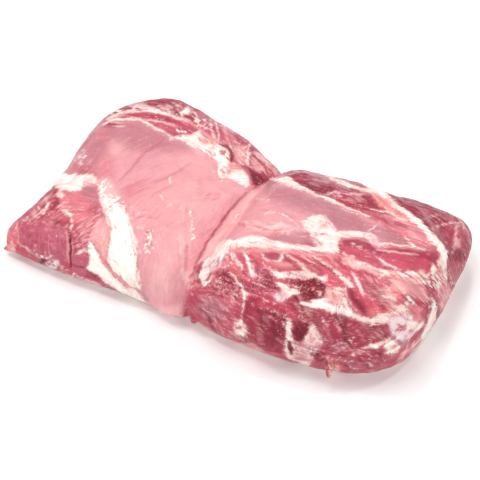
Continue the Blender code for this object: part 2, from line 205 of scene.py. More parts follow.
# The corner of lean muscles in front of the fat slab.
LEFT_CORNER = {
    "red muscle": patch(
        ROSE, "62,190 80,190 98,186 99,200 103,212 106,224 96,222 80,222 72,222 66,214 60,206", 3, rise=0.3
    ),
    "mauve end": patch(MAUVE, "80,192 84,186 98,185 99,197 97,206 90,204 84,198", 5, 0.8),
    "coral top": patch(CORAL, "66,192 76,191 82,195 78,202 63,204", 5, 0.5),
    "coral foot": patch(CORAL, "66,209 88,209 98,216 104,222 96,229 84,230 76,226 72,219", 5, 0.5),
    "dark hollow": patch(DARK, "87,208 95,203 102,207 104,214 97,217 88,216", 5, 0.5, -0.4),
    "fringe top": line(CREAM, "58,208 61,204 68,203", 2.2),
    "fringe middle": line(SALMON, "62,207 70,208 79,209", 1.8, 0.8),
    "fringe foot": patch(CREAM, "60,209 66,210 72,214 73,217 66,215 62,213", 1.6),
    "fringe tail": line(CREAM, "71,214 72,221 71,227 69,231", 2.0),
    "fibres": Flecks(BLUSH, "74,228 92,220 100,208 110,220 94,238 80,240", 34, 10, 1.1, 40, 8, 0.6),
    "fibre gaps": Flecks(LEAN, "74,228 92,220 100,210 110,220 94,238 80,240", 16, 9, 1.1, 40, 8, 0.6),
    "salmon tail": patch(
        BLOOM, "90,238 96,226 106,219 112,229 112,240 109,250 107,263 102,258 99,250 95,243", 3
    ),
    "tail strands": Flecks(BLUSH, "97,232 109,224 110,246 105,258 101,248", 9, 9, 1.3, 70, 14),
    "big lobe": patch(PLUM, "20,232 34,225 50,227 66,230 68,260 56,262 38,256 24,246 18,240", 9, rise=0.5),
    "big lobe shade": line(DARK, "34,238 32,250 37,256", 3.0, 0.5),
    "lobe mottle": Flecks(DARK, "22,230 50,228 68,232 68,260 50,260 26,246", 34, 5, 3.0, 10, 80, 0.22),
    "lobe glints": Flecks(BLUSH, "22,230 50,228 68,232 68,260 50,260 26,246", 26, 3, 1.3, 20, 60, 0.35),
    "mottled top": patch(
        DARK, "24,214 40,200 52,189 62,199 60,212 70,221 69,232 56,224 40,221 26,228", 8, 0.45
    ),
    "mottled pale": Flecks(
        BLUSH, "20,216 40,199 56,192 62,214 70,228 50,228 36,226 18,224", 64, 3.0, 1.1, 25, 40, 0.5
    ),
    "mottled deep": Flecks(DEEP, "30,208 46,196 60,198 64,222 50,224 38,218", 26, 3.2, 1.4, 30, 50, 0.45),
    "muscle joint": patch(RED, "46,212 62,211 70,220 62,224 52,220", 4, 0.5),
    "dark eye": patch(DEEP, "53,219 58,218 60,223 55,225", 3, 0.5),
    "leaf tip": patch(DARK, "50,190 55,185 62,191 56,193 51,194", 1.6),
    "leaf edge": line(BLUSH, "53,191 47,198 40,206", 1.8, 0.5),
    "rim band": patch(CORAL, "6,222 14,216 18,224 18,243 14,251 6,250", 2, 0.75),
    "rim light": line(BLUSH, "17,221 18,234 18,242 22,246 31,250 40,256", 1.5, 0.5),
    "rim red": line(RED, "14,242 16,249 20,251", 3.0, 0.9),
    "nub": patch(SALMON, "6,247 12,240 15,248 15,254 6,254", 1.6),
    "hook": line(CREAM, "47,199 47,208 44,213 41,213", 2.0, 0.85),
    "hook foot": line(CREAM, "41,211 38,207", 1.6, 0.8),
    "spots": patch(BLUSH, "31,212 37,211 38,217 33,217", 3, 0.6),
    "cream patch": patch(CREAM, "54,195 60,190 65,195 62,199 58,196", 1.6),
    "edge line one": line(BLUSH, "24,247 34,254 42,259", 1.4, 0.7),
    "edge dark one": line(DEEP, "31,251 41,257", 1.6, 0.8, -0.4),
    "edge film one": line(FILM, "40,261 46,258 53,256", 1.8, 0.9),
    "edge dark two": patch(DEEP, "38,262 44,258 47,261 42,265", 1.6),
    "edge film two": patch(FILM, "46,263 52,260 59,260 60,266 56,270 48,267", 2),
    # Painted glints: white flecks in the fat's colour along the torn lower edge of the corner.
    "edge painted glints": Flecks(
        FAT, "30,250 44,256 60,263 74,274 92,278 104,286 90,284 70,278 50,268", 26, 4, 1.2, -18, 50, 0.75
    ),
    # Painted shade: dark flecks in the gaps between the strands of the torn edge.
    "edge gap shade": Flecks(DEEP, "30,252 60,265 74,276 100,284 90,284 66,276 46,264", 14, 4, 1.4, -20, 30, 0.7),
    "edge spot": line(RED, "56,269 60,269", 2.0, 0.8),
    "edge fat one": line(CREAM, "60,270 67,275 78,280 92,284 100,285", 2.4, 0.9),
    "edge red one": line(RED, "61,271 66,274", 1.6, 0.7),
    "edge film three": line(FILM, "76,276 86,280 98,284", 2.0, 0.8),
    "edge dark three": line(DARK, "82,279 90,276 98,281", 1.6, 0.8),
    "lower lean": patch(PLUM, "72,254 90,256 93,261 87,268 84,277 71,270", 2),
    "lower film": Flecks(FILM, "72,230 88,240 90,254 76,256", 20, 7, 1.1, 22, 12, 0.6),
    "lower film band": line(FILM, "75,254 82,251 89,251", 2.0, 0.8),
    "lower seam": line(DEEP, "70,264 78,268 86,267", 1.8, 0.7, -0.3),
    "slit lip": line(BLUSH, "66,230 68,240 68,252 69,262", 1.6, 0.5, 0.2),
    # Painted shade: the dark inside of the knife slit, over a real groove.
    "slit": line(SLIT, "69,229 70,236 70.5,244 70,252 70.5,260 71,267", 1.7, 1.0, -0.4),
    "slit far lip": line(BLUSH, "72.5,238 72,256", 1.2, 0.5),
    "mauve spot one": patch(DARK, "89,270 96,270 103,279 98,280 92,275", 2),
    "mauve spot two": patch(DEEP, "103,281 111,282 117,288 109,288", 2, 0.85),
}

# The cream fat: the corner band, the slab between corner and eye, and the strip under it.
LEFT_FAT = {
    "corner band": patch(
        CREAM,
        "52,182 57,174 62,172 70,176 80,174 90,176 97,178 98,185 90,185 83,186 80,191 72,192 62,190 55,187",
        1.6, rise=0.5,
    ),
    "corner band white": patch(FAT, "58,183 64,176 80,176 92,178 92,184 82,187 72,190 62,188", 4, 0.7),
    "corner band film": patch(FILM, "83,178 97,180 97,185 84,185", 3, 0.8),
    "slab": patch(
        CREAM,
        "98,186 103,183 108,186 113,196 118,203 124,208 128,217 130,225 133,231 136,240 137,252 138,264 "
        "139,276 143,290 134,288 128,284 120,277 112,269 108,260 109,249 111,240 111,230 108,221 104,213 "
        "100,203",
        1.8, rise=0.7,
    ),
    "slab white": patch(
        FAT,
        "108,214 120,209 128,218 131,230 134,242 135,256 136,270 134,281 126,277 114,266 110,250 112,232",
        5,
    ),
    "slab top blush": patch(BLUSH, "98,181 109,177 119,196 112,202 104,198 99,192", 5, 0.65),
    # Painted glints: white flecks in the fat's colour for wet drops catching the light on the slab's top and
    # upper edge.
    "slab top painted glints": Flecks(FAT, "99,184 110,178 120,198 108,206 100,196", 34, 3, 1.8, 20, 60, 0.9),
    "slab edge painted glints": Flecks(FAT, "112,196 120,196 128,208 124,214", 10, 4, 1.5, -50, 20, 0.7),
    "slab film": patch(
        FILM, "134,231 139,240 142,250 141,262 140,275 143,286 138,284 136,262 135,245", 4, 0.4
    ),
    "slab threads": Flecks(
        CORAL, "100,196 112,206 118,232 114,262 108,256 108,230 102,212", 22, 7, 1.2, -52, 14, 0.45
    ),
    "slab vein": line(BLOOM, "120,240 125,241 126,247 127,256", 1.2, 0.5),
    "pink line": line(
        BLOOM, "87,238 94,243 99,250 102,257 105,264 110,270 117,277 124,283 132,288", 3.2, 0.9, -0.4
    ),
    "pink line core": line(CORAL, "98,249 103,260 109,269", 1.8, 0.5),
    "strip": patch(
        FAT,
        "89,242 96,249 100,257 103,265 112,275 124,286 135,291 148,304 138,302 130,296 118,290 105,282 "
        "97,274 87,268 91,260 88,252",
        1.8, rise=0.4,
    ),
    "strip foot": patch(CREAM, "118,282 132,289 147,302 136,300 124,292", 3, 0.8),
    "strip tail": line(DUSK, "140,290 144,296 148,301", 3.0, 0.7),
}

# The broad pale eye muscle of the left lobe.
LEFT_TOP = {
    "shoulder mauve": patch(
        MAUVE, "60,176 66,155 80,140 92,126 103,121 116,124 112,138 106,150 100,164 98,178 84,176", 8, 0.85
    ),
    "shoulder red": patch(RED, "60,174 64,166 78,162 94,168 97,177 84,175 66,177", 4, 0.5),
    "shoulder rim": line(DARK, "103,120 94,131 86,142 76,153 66,164", 3.0, 0.4),
    # Painted glints: pale film-coloured flecks for wet drops on the shoulder.
    "shoulder painted glints": Flecks(FILM, "72,160 84,148 94,158 92,174 84,168", 34, 3.5, 1.1, 30, 60, 0.7),
    "upper mauve": patch(
        MAUVE,
        "103,126 120,120 140,121 150,127 165,134 174,140 190,145 196,154 178,152 160,150 140,152 120,146 "
        "106,138",
        10, 0.85,
    ),
    "upper red": patch(ROSE, "97,130 107,130 107,142 98,140", 5, 0.6),
    "eye shade": patch(ROSE, "98,160 112,154 114,172 110,182 99,180", 8, 0.7),
    "eye light": patch(BLUSH, "112,140 126,140 124,152 112,156", 10, 0.3),
    "lower pink": patch(BLOOM, "128,200 200,150 226,180 226,200 200,225 180,260 146,250 132,220", 22, 0.5),
    "bottom light": patch(BLUSH, "146,262 172,256 178,282 170,300 152,296", 14, 0.35),
    "bottom mauve": patch(MAUVE, "170,270 184,262 190,276 184,312 164,312 168,290", 8, 0.2),
    "bottom rim": patch(BLUSH, "160,306 182,304 182,318 158,316", 5, 0.45),
    "thin muscle": patch(DARK, "103,120 112,119 122,121 123,126 112,128 104,126", 2.5, 0.75),
    "thin strands": Flecks(BLUSH, "104,120 120,120 122,127 106,127", 5, 12, 1.1, -2, 6, 0.7),
    "long groove": line(PLUM, "119,181 130,170 137,161 145,153 155,146 164,139", 3.0, 0.5, -0.6),
    "second groove": line(PLUM, "120,189 130,186 140,182 151,178", 3.6, 0.45, -0.5),
    "third groove": line(PLUM, "150,183 160,180 170,176 180,170 191,163", 2.8, 0.4, -0.5),
    "fourth groove": line(ROSE, "129,197 140,191 151,187", 3.0, 0.7, -0.3),
    "fifth groove": line(ROSE, "150,196 162,190 172,186", 2.4, 0.5, -0.2),
    "low crease": line(ROSE, "128,214 142,217 158,218", 2.6, 0.6, -0.2),
    "groove blush": patch(ROSE, "122,194 128,187 140,183 146,185 136,192 128,197", 5, 0.6),
    # Painted glints: a cluster of white flecks in the fat's colour for wet drops catching the light; the
    # dark flecks under them are lean.
    "drops": Flecks(FAT, "142,228 153,230 155,246 150,258 146,256 144,244", 44, 3, 1.3, 70, 50, 1.0),
    "drops ground": Flecks(LEAN, "142,228 153,230 155,248 146,252", 20, 3, 1.4, 70, 50, 0.5),
    "drops left": Flecks(BLUSH, "130,205 146,212 146,232 134,226", 22, 4, 1.3, 10, 30, 0.7),
    "tick one": line(FAT, "160,195 163,199", 2.0, 0.8),
    "tick two": line(FAT, "170,177 170,184", 1.6, 0.8),
    "tick three": line(FAT, "190,210 190,217", 2.0, 0.9),
    "tick four": line(FAT, "192,220 192,230", 1.6, 0.8),
    "tick five": Flecks(FAT, "189,229 195,229 194,240 190,240", 8, 3, 1.5, 60, 50, 0.9),
    "tick six": Flecks(BLUSH, "164,202 182,198 184,212 170,212", 10, 5, 1.3, 20, 20, 0.6),
    "red ticks": Flecks(CORAL, "206,194 222,190 224,200 210,202", 7, 7, 1.4, 20, 14, 0.7),
    "pale strands": Flecks(BLUSH, "176,240 190,236 190,292 180,290", 16, 16, 1.3, 88, 6, 0.6),
    "mauve strand": line(MAUVE, "186,245 186,258 185,272", 4.0, 0.7),
    "small drops": Flecks(BLUSH, "150,220 226,205 196,262 160,270", 30, 3, 1.4, 60, 60, 0.5),
}

# Fascia, fat and the red lens muscles along the back of the left lobe.
LEFT_BACK = {
    "rim": patch(
        DARK,
        "98,121 110,100 150,88 200,92 214,112 210,128 197,128 190,121 170,115 150,110 130,110 118,113 "
        "106,120",
        2,
    ),
    "rim specks": Flecks(CREAM, "108,116 118,106 134,103 132,110 116,118", 16, 3, 1.5, 40, 30),
    "rim strands": Flecks(BLUSH, "136,103 150,101 162,110 150,111 136,108", 9, 18, 1.3, -16, 5, 0.85),
    "rim marbling": Flecks(BLUSH, "152,103 182,103 182,117 168,114 154,109", 34, 4, 1.4, -40, 40, 0.7),
    "rim fat flecks": Flecks(CREAM, "160,108 184,112 182,120 166,114", 14, 3, 1.3, -20, 30, 0.7),
    "fork": line(CREAM, "132,111 136,106 137,103", 2.0),
    "fork arm": line(CREAM, "137,107 148,108 159,111", 1.6, 0.9),
    "blob": patch(FAT, "182,109 188,107 191,113 184,115", 1.6),
    "blob arm": line(CREAM, "189,109 196,113 198,121", 1.6),
    "lens edge": line(
        CREAM, "106,120 113,116 122,112.5 134,111.5 150,111 160,112 168,115 178,118 190,121 197,128", 2.2
    ),
    "dark lens": patch(
        LEAN,
        "120,117 127,114 135,113 150,113 160,114 170,117 180,121 190,123 199,130 192,135 183,136 180,130 "
        "170,124 160,121 150,119 140,118 128,119",
        1.6, rise=-0.2,
    ),
    "lens core": line(DEEP, "150,116 162,118 174,121", 3.0, 0.45),
    "lens split": line(BLUSH, "140,120 150,120 163,122.5 172,124.5 179,128", 1.5, 0.9),
    "red lens": patch(
        LEAN, "140,121 150,121.5 163,124 176,128 186,136 175,137 168,132 158,128 148,125", 1.6, 0.95, 0.5
    ),
    "red lens end": patch(LEAN, "176,126 196,128 192,135 180,136", 3, 0.8),
    # Painted glints: white flecks in the fat's colour on the end of the red lens.
    "lens painted glints": Flecks(FAT, "176,128 186,132 184,137 178,135", 7, 2.5, 1.4, 0, 50, 0.9),
    "fascia": line(
        CREAM, "104,124 109,121 118,119.5 130,119 139,119.5 146,123 156,129 165,132 172,138", 2.6
    ),
    "fascia film": patch(FILM, "167,133 172,136 177,139 170,140", 2),
    "fascia fat": patch(
        CREAM,
        "172,137 185,136 195,133 200,131 203,137 215,143 222,146 229,152 230,160 229,168 227,176 222,182 "
        "218,175 217,163 210,156 200,150 190,147 186,142 178,140",
        1.8, rise=0.5,
    ),
    "fascia fat threads": Flecks(
        CORAL, "186,136 202,134 216,144 229,154 229,170 224,180 216,162 200,148", 30, 7, 1.5, -40, 30, 0.55
    ),
    "fascia fat lights": Flecks(
        FAT, "186,138 202,136 216,146 227,156 227,174 222,178 214,160 200,148", 22, 5, 1.8, -35, 40, 0.8
    ),
    "fat blush": patch(SALMON, "201,136 211,137 215,145 205,145", 3, 0.8),
    "fat island": patch(RED, "219,151 225,151 226,156 221,156", 1.6, 0.7),
    "fat islet": patch(CORAL, "203,136 208,136 208,141 204,141", 2, 0.6),
    "back muscle": patch(
        LEAN,
        "196,100 220,104 255,130 292,170 262,187 252,186 246,172 232,165 233,150 222,141 206,134 198,127",
        2, rise=0.4,
    ),
    "back dark": Flecks(
        DARK, "204,112 220,116 262,152 280,172 262,178 246,160 230,140 210,128", 60, 7, 2.2, -55, 25, 0.7
    ),
    "back tangle": Flecks(CREAM, "194,116 207,118 212,130 200,133 194,128", 22, 5, 1.2, 55, 50, 0.8),
    "back strand one": line(CREAM, "210,120 212,130 215,141", 1.4, 0.85),
    "back strand two": line(FILM, "214,119 218,130 219,142", 1.5),
    "back strand three": line(BLUSH, "224,122 225,132 229,143", 2.2, 0.8),
    "back blush": patch(ROSE, "221,126 232,130 237,142 226,144", 3, 0.7),
    "back pale": patch(BLUSH, "233,144 246,148 248,160 240,165 234,156", 4, 0.55),
    "back streaks": Flecks(CREAM, "226,136 250,146 258,166 246,168 232,150", 26, 6, 1.2, -50, 22, 0.7),
    "back lens": line(BLUSH, "254,152 260,157 267,163", 4.0, 0.7),
    "back strand four": line(CREAM, "243,148 248,146 252,143", 1.6, 0.8),
    "back strand five": line(CREAM, "248,148 248,156 246,163", 1.6, 0.8),
    "back fine": Flecks(BLUSH, "250,158 266,160 278,172 262,176 252,168", 26, 7, 1.2, -42, 14, 0.7),
    "back corner": patch(DEEP, "249,168 256,172 264,179 274,177 262,185 256,187 252,180", 2, 0.9),
    "crescent": line(DEEP, "220,144 226,146 231,151 232,156 231,162", 3.4, 1.0, -0.6),
    "orange patch": patch(SALMON, "228,163 238,164 244,170 240,173 229,172", 2.5),
    "cream wedge": patch(
        CREAM, "225,176 234,172 243,171 248,176 250,187 246,189 240,184 232,179", 1.8, rise=0.3
    ),
    "wedge shade": line(DUSK, "236,166 244,170 250,177 252,184", 2.2, 0.7),
}

# The crease between the lobes, with painted shade along it: a darker band and dark lines in the fold.
CREASE = {
    "shadow band": patch(
        ROSE,
        "251,188 240,197 226,215 214,232 204,249 196,263 190,277 184,268 192,250 204,228 218,206 234,193",
        8, 0.4,
    ),
    # Painted shade: dark lines along the fold, where the right lobe's shoulder shades the left lobe; the
    # core also sits on a shallow real groove.
    "fold": line(
        LEAN, "256,187 247,193 240,199 232,208 225,217 214,233 206,245 199,258 194,268 190,279", 3.0, 0.7
    ),
    "fold shadow core": line(
        DARK, "247,193 240,199 232,208 225,217 214,233 206,245 199,258 194,268", 1.8, 0.9, -0.5
    ),
    "foot lump": patch(BLOOM, "182,309 188,305 196,308 198,318 190,321 183,316", 3),
    "foot flecks": Flecks(FILM, "183,289 193,288 198,298 192,304 185,302", 22, 3, 1.5, 50, 50),
    "foot dark": patch(DARK, "189,294 193,296 194,305 189,303", 2),
    "foot strands": Flecks(BLUSH, "185,270 196,268 206,284 198,296 186,290", 20, 6, 1.3, 70, 30, 0.7),
}

# Pale muscle, fascia and the dark muscle behind it on the right lobe.
RIGHT_TOP = {
    "eye": patch(
        PALE,
        "284,176 256,188 240,201 225,219 208,243 194,272 200,262 213,256 222,244 240,239 262,239 290,247 "
        "316,249 322,240 336,233 368,233 392,246 412,250 396,234 375,221 345,209 318,197 300,189",
        2,
    ),
    "eye mauve": patch(
        MAUVE,
        "268,184 300,189 340,206 385,228 412,250 380,241 350,232 334,231 326,217 306,213 284,206 268,198",
        9, 0.95,
    ),
    "eye shade": patch(DUSK, "300,192 330,204 352,214 346,228 330,222 316,212 300,206", 9, 0.35),
    "eye pink": patch(BLOOM, "246,196 268,204 280,222 250,238 226,236 222,226", 12, 0.35),
    "crease strip": patch(
        BLUSH,
        "252,190 242,201 230,215 217,233 206,249 198,264 207,260 219,243 232,226 243,212 256,194",
        4, 0.55,
    ),
    "red strip": line(CORAL, "238,223 250,227 262,229 275,231 290,236", 4.4, 0.8),
    "low strip": line(CORAL, "270,233 282,236 292,242", 2.4, 0.5),
    "low mauve": patch(MAUVE, "264,236 285,233 305,231 316,238 319,248 300,247 280,243 268,240", 3, 0.9),
    "low dark": patch(LEAN, "303,240 315,240 320,248 308,249", 3, 0.5),
    "drift": Flecks(BLUSH, "242,220 268,221 290,226 296,232 262,232 246,228", 30, 8, 1.5, -4, 12, 0.75),
    "drift low": Flecks(BLUSH, "268,226 306,224 312,236 282,238", 22, 5, 1.4, 10, 40, 0.6),
    "fine grain": Flecks(ROSE, "250,192 290,196 330,214 280,216 246,208", 26, 16, 1.4, -6, 6, 0.35),
    "lilac streak": line(FILM, "277,212 286,216 292,220 299,226", 2.2, 0.8),
    "tick one": line(CREAM, "256,199 269,200", 1.6, 0.7),
    "tick two": line(CREAM, "263,214 270,212 276,213", 1.8, 0.8),
    "tick three": line(CREAM, "233,223 236,218 240,212", 2.4, 0.9),
    "tick four": line(FAT, "279,223 283,224", 2.2, 0.8),
    "fascia": line(
        CREAM,
        "270,180 285,181 295,185 305,189 315,194 325,197 335,202 345,207 360,213 378,219 392,226",
        3.4, 0.9,
    ),
    "fascia head": patch(CREAM, "270,179 288,177 296,181 306,189 294,187 282,183", 2),
    "fascia film": line(FILM, "276,182 290,186 302,191", 2.4, 0.7),
    "fascia knot": patch(DUSK, "272,181 278,181 278,185 272,184", 2, 0.6),
    "fascia edge": line(FILM, "340,208 352,212 368,219", 2.0, 0.7),
    "back muscle": patch(
        DARK,
        "286,174 300,160 345,166 376,188 384,200 394,214 385,222 360,211 345,205 330,197 318,194 305,188 "
        "296,183 292,178",
        1.8,
    ),
    "back deep": patch(DEEP, "303,182 322,182 337,188 330,193 316,193", 4, 0.5),
    "back film one": line(FILM, "286,175 300,172 314,172 330,177 348,188", 1.6, 0.6),
    "back film two": line(DUSK, "294,178 312,180 330,183 348,190", 1.8, 0.7),
    "back film three": line(FILM, "324,195 335,192 342,197", 1.6, 0.8),
    "back film four": line(FILM, "344,194 356,194 366,193", 1.6, 0.8),
    "back strands": Flecks(BLUSH, "300,172 340,180 370,200 350,202 316,188", 22, 12, 1.1, -20, 6, 0.5),
    "back haze": Flecks(DUSK, "300,166 340,170 374,192 350,200 318,188", 34, 9, 1.8, -18, 10, 0.4),
    "back red": patch(RED, "328,196 345,196 362,197 382,208 390,215 370,209 350,206 338,204", 3, 0.15),
    "back edge fat": line(CREAM, "326,176 345,183 360,189 374,190", 3.4, 0.9),
}

# The meeting of fat on the right lobe, and the fat line above the rib ends.
FRONT_FAT = {
    "meeting": patch(
        CREAM,
        "300,222 310,217 320,215 327,219 331,226 337,231 352,231 370,232 374,237 360,239 341,239 337,243 "
        "339,250 332,254 318,251 315,240 308,231 303,227",
        1.8, rise=0.5,
    ),
    "meeting white": patch(
        FAT, "303,221 316,217 326,222 334,232 352,232 366,234 340,239 334,248 322,247 314,234", 5, 0.15
    ),
    "meeting salmon": patch(SALMON, "319,222 327,222 326,229 320,229", 3, 0.7),
    "meeting nick": line(CORAL, "320,235 326,234 330,235", 2.0, 0.6),
    "meeting film": line(FILM, "324,216 330,223 337,231", 2.4),
    "meeting edge": patch(FILM, "363,232 373,233 379,243 371,245 364,238", 3),
    "meeting film low": patch(FILM, "311,236 316,236 322,246 316,246", 3, 0.7),
    "line glow": patch(
        BLOOM, "225,248 250,243 290,246 336,250 342,256 316,256 285,253 255,252 232,253", 2.4, 0.5
    ),
    "line": patch(
        CREAM,
        "203,286 199,276 203,264 211,257 217,246 224,240 236,239 250,236 262,237 275,241 290,244 305,246 "
        "318,248 336,249 338,254 318,252 300,251 285,250 270,248 255,248 240,248 230,250 223,255 216,262 "
        "209,272",
        1.8, rise=0.5,
    ),
    "line white": line(FAT, "222,247 236,243 250,240.5 264,241.5 280,244.5 298,247", 3.2, 0.7),
    "line film": line(FILM, "250,244 262,241 280,243 300,246", 2.0, 0.6),
    "line blush": line(SALMON, "226,247 240,250 262,249 282,252 304,253", 1.8, 0.5),
    "rags": Flecks(FAT, "199,262 212,256 222,258 226,268 214,272 206,286 200,280", 26, 9, 1.8, 55, 14),
    "rags film": patch(FILM, "208,262 222,259 228,266 222,270 210,272", 4, 0.7),
    "rags pink": Flecks(CORAL, "206,266 224,262 226,270 208,282", 14, 7, 1.3, 60, 16, 0.7),
}

# The red finger muscles between the ribs' places, and the torn zone under them.
RIB_ENDS = {
    "ground": patch(
        RED,
        "229,250 250,250 290,251 320,254 340,255 352,262 362,274 352,288 330,284 322,278 300,280 280,280 "
        "262,278 250,284 236,280 224,264",
        3,
    ),
    "finger one": patch(
        SLEEK, "229,250 240,251 246,258 249,266 250,276 243,272 238,264 233,257", 1.8, rise=1.2
    ),
    # Painted sheen: pale film-coloured flecks for the wet shine on finger one.
    "finger one painted sheen": Flecks(FILM, "234,260 243,264 250,276 246,280 238,270", 18, 4, 1.3, -55, 30),
    "finger two": patch(
        SLEEK, "249,251 258,252 264,258 267,266 272,274 276,286 264,280 257,270", 2, rise=1.2
    ),
    "finger two side": patch(CORAL, "249,251 256,251 262,256 254,260", 3, 0.6),
    "oval": patch(WINE, "263,254 268,250.5 276,250.5 281.5,256 280,259.5 273,260 266,258", 1.4, rise=0.9),
    "oval ring": line(
        CREAM, "261,251 264,257.5 270,261.5 279,262 283.5,257.5 281,251 272,248.5 264,249.5", 3.0
    ),
    "lens": patch(
        SLEEK, "262,262 272,261.5 285,263 297,266 306,273 292,271.5 276,270.5 265,266", 1.6, rise=1.1
    ),
    "lens bloom": patch(BLOOM, "268,262 288,263 299,267 284,268", 3, 0.7),
    "lens foot": line(DARK, "264,265 275,270 290,272", 1.8, 0.6),
    "finger three": patch(
        SLEEK, "280,251 290,251.5 300,261 312,271 320,279 308,276 296,267 287,258", 1.8, rise=1.2
    ),
    "finger three core": line(WINE, "288,256 298,264 308,273", 2.6, 0.6),
    "finger four": patch(
        SLEEK, "300,254 312,257 325,265 338,275 350,286 334,280 318,271 306,262", 1.8, 0.85, rise=1.1
    ),
    "finger four low": patch(LEAN, "310,266 325,274 338,284 328,282 316,276", 2.4, 0.8),
    "finger five": patch(SLEEK, "314,256 330,256 342,266 352,276 352,280 340,276 328,268", 1.8, rise=1.2),
    "finger five core": line(WINE, "322,260 335,269 348,278", 4.0, 0.7),
    "finger tops": patch(
        BLOOM, "232,250 250,249 280,249 310,252 338,255 338,259 310,256 280,253 250,253 234,254", 3, 0.55
    ),
    # Painted shade: dark flecks in the gaps between the fingers.
    "finger gap shades": Flecks(
        WINE, "242,254 290,254 340,262 352,276 316,272 280,258 252,258", 12, 12, 1.5, -42, 8, 0.4
    ),
    "gap one": line(FAT, "243,251 247,258 250,266 253,277", 3.0),
    "gap one film": line(FILM, "252,262 254,272 254,280", 3.0, 0.7),
    "gap two": line(CREAM, "280,250 288,256 296,262 304,269 313,276", 2.0, 0.95),
    "gap three": line(CREAM, "296,252 302,257 310,262 318,266", 1.9, 0.9),
    "gap four": line(CREAM, "310,253 318,260 330,268 345,279 354,289", 1.9, 0.9),
    "gap five": line(CREAM, "300,264 312,268 318,274", 1.3, 0.7),
    "finger light": Flecks(
        BLOOM, "286,250 318,254 342,261 342,268 316,263 290,258", 16, 8, 1.8, -42, 10, 0.6
    ),
    "gap shade one": line(DEEP, "283,255 290,262 298,269 306,274", 1.7, 0.8, -0.5),
    "gap shade two": line(DEEP, "299,256 307,262 316,268 324,273", 1.6, 0.75, -0.5),
    "gap shade three": line(DEEP, "313,258 322,265 333,273 344,281", 1.7, 0.8, -0.5),
    "gap shade four": line(DEEP, "252,256 257,264 263,273 269,282", 1.6, 0.7, -0.5),
    "white line one": line(FAT, "221,251 226,257 232,266 240,276 249,280", 2.2),
    "white line two": line(FAT, "226,249 232,256 238,264 243,270", 1.8),
    "white line three": line(FILM, "231,251 236,258 240,266", 2.6, 0.8),
    "red line one": line(RED, "224,254 230,264 236,272 245,280", 2.0, 0.9),
    "red line two": line(CORAL, "230,258 235,267 242,275 248,280", 2.2, 0.9),
    "pale bed": patch(
        CREAM,
        "263,264 272,269.5 286,272 303,272 318,277 327,276 330,282 318,280 300,280 288,279 276,277 268,272",
        2,
    ),
    "pale bed film": patch(FILM, "284,273 300,274 306,279 290,279", 3, 0.6),
    "torn left": patch(CRUMB, "209,270 220,265 232,272 244,282 250,292 240,304 222,302 208,294 206,280", 4),
    "torn left deep": patch(CLOT, "220,269 226,270 230,278 237,282 235,285 225,284 219,278", 4, 0.7),
    "torn left flecks": Flecks(BLUSH, "210,278 244,284 246,302 226,304 208,294", 50, 4, 1.3, 35, 25, 0.6),
    "torn middle": patch(
        CRUMB, "258,268 268,268 276,278 284,288 280,294 266,294 252,292 250,286", 4, rise=0.3
    ),
    "torn middle deep": patch(CLOT, "262,274 270,276 274,287 268,289 264,284", 4, 0.55),
    # Painted glints: grey-lilac dots for the wet sparkle on the torn grain.
    "torn middle painted glints": Flecks(DUSK, "256,270 266,268 272,280 266,286 258,282", 20, 2.6, 1.3, 0, 80, 0.7),
    "clot": patch(
        CLOT,
        "287,280 296,279 304,281 316,278 320,283 325,286 328,292 324,297 318,302 306,301 296,296 288,290",
        2.4, rise=0.5,
    ),
    "clot red": patch(CRUMB, "286,280 296,279 298,290 290,291 286,286", 3, 0.9),
    "clot grit": Flecks(RED, "298,282 324,284 324,298 300,299", 26, 2.6, 1.2, 0, 80, 0.25),
    "clot dark": Flecks(DEEP, "290,281 320,280 328,292 318,302 298,297", 30, 2.6, 1.5, 0, 80, 0.6),
    # Painted glints: tiny white dots on the clot, in the fat's colour.
    "clot painted glints": Flecks(FAT, "290,281 320,281 328,292 318,300 298,296", 14, 1.6, 0.9, 0, 80, 0.45),
    "clot light": Flecks(BLUSH, "310,288 322,290 320,297", 7, 3, 1.2, -30, 20, 0.8),
    "red spot": patch(CRUMB, "328,281 337,281 339,287 334,291 328,287", 2.4, rise=0.3),
    "seam": line(CREAM, "230,272 236,280 241,286 244,293 245,302 243,311 241,320", 3.2, 0.85),
    "seam film": line(FILM, "246,290 247,298 244,308", 2.2, 0.6),
}

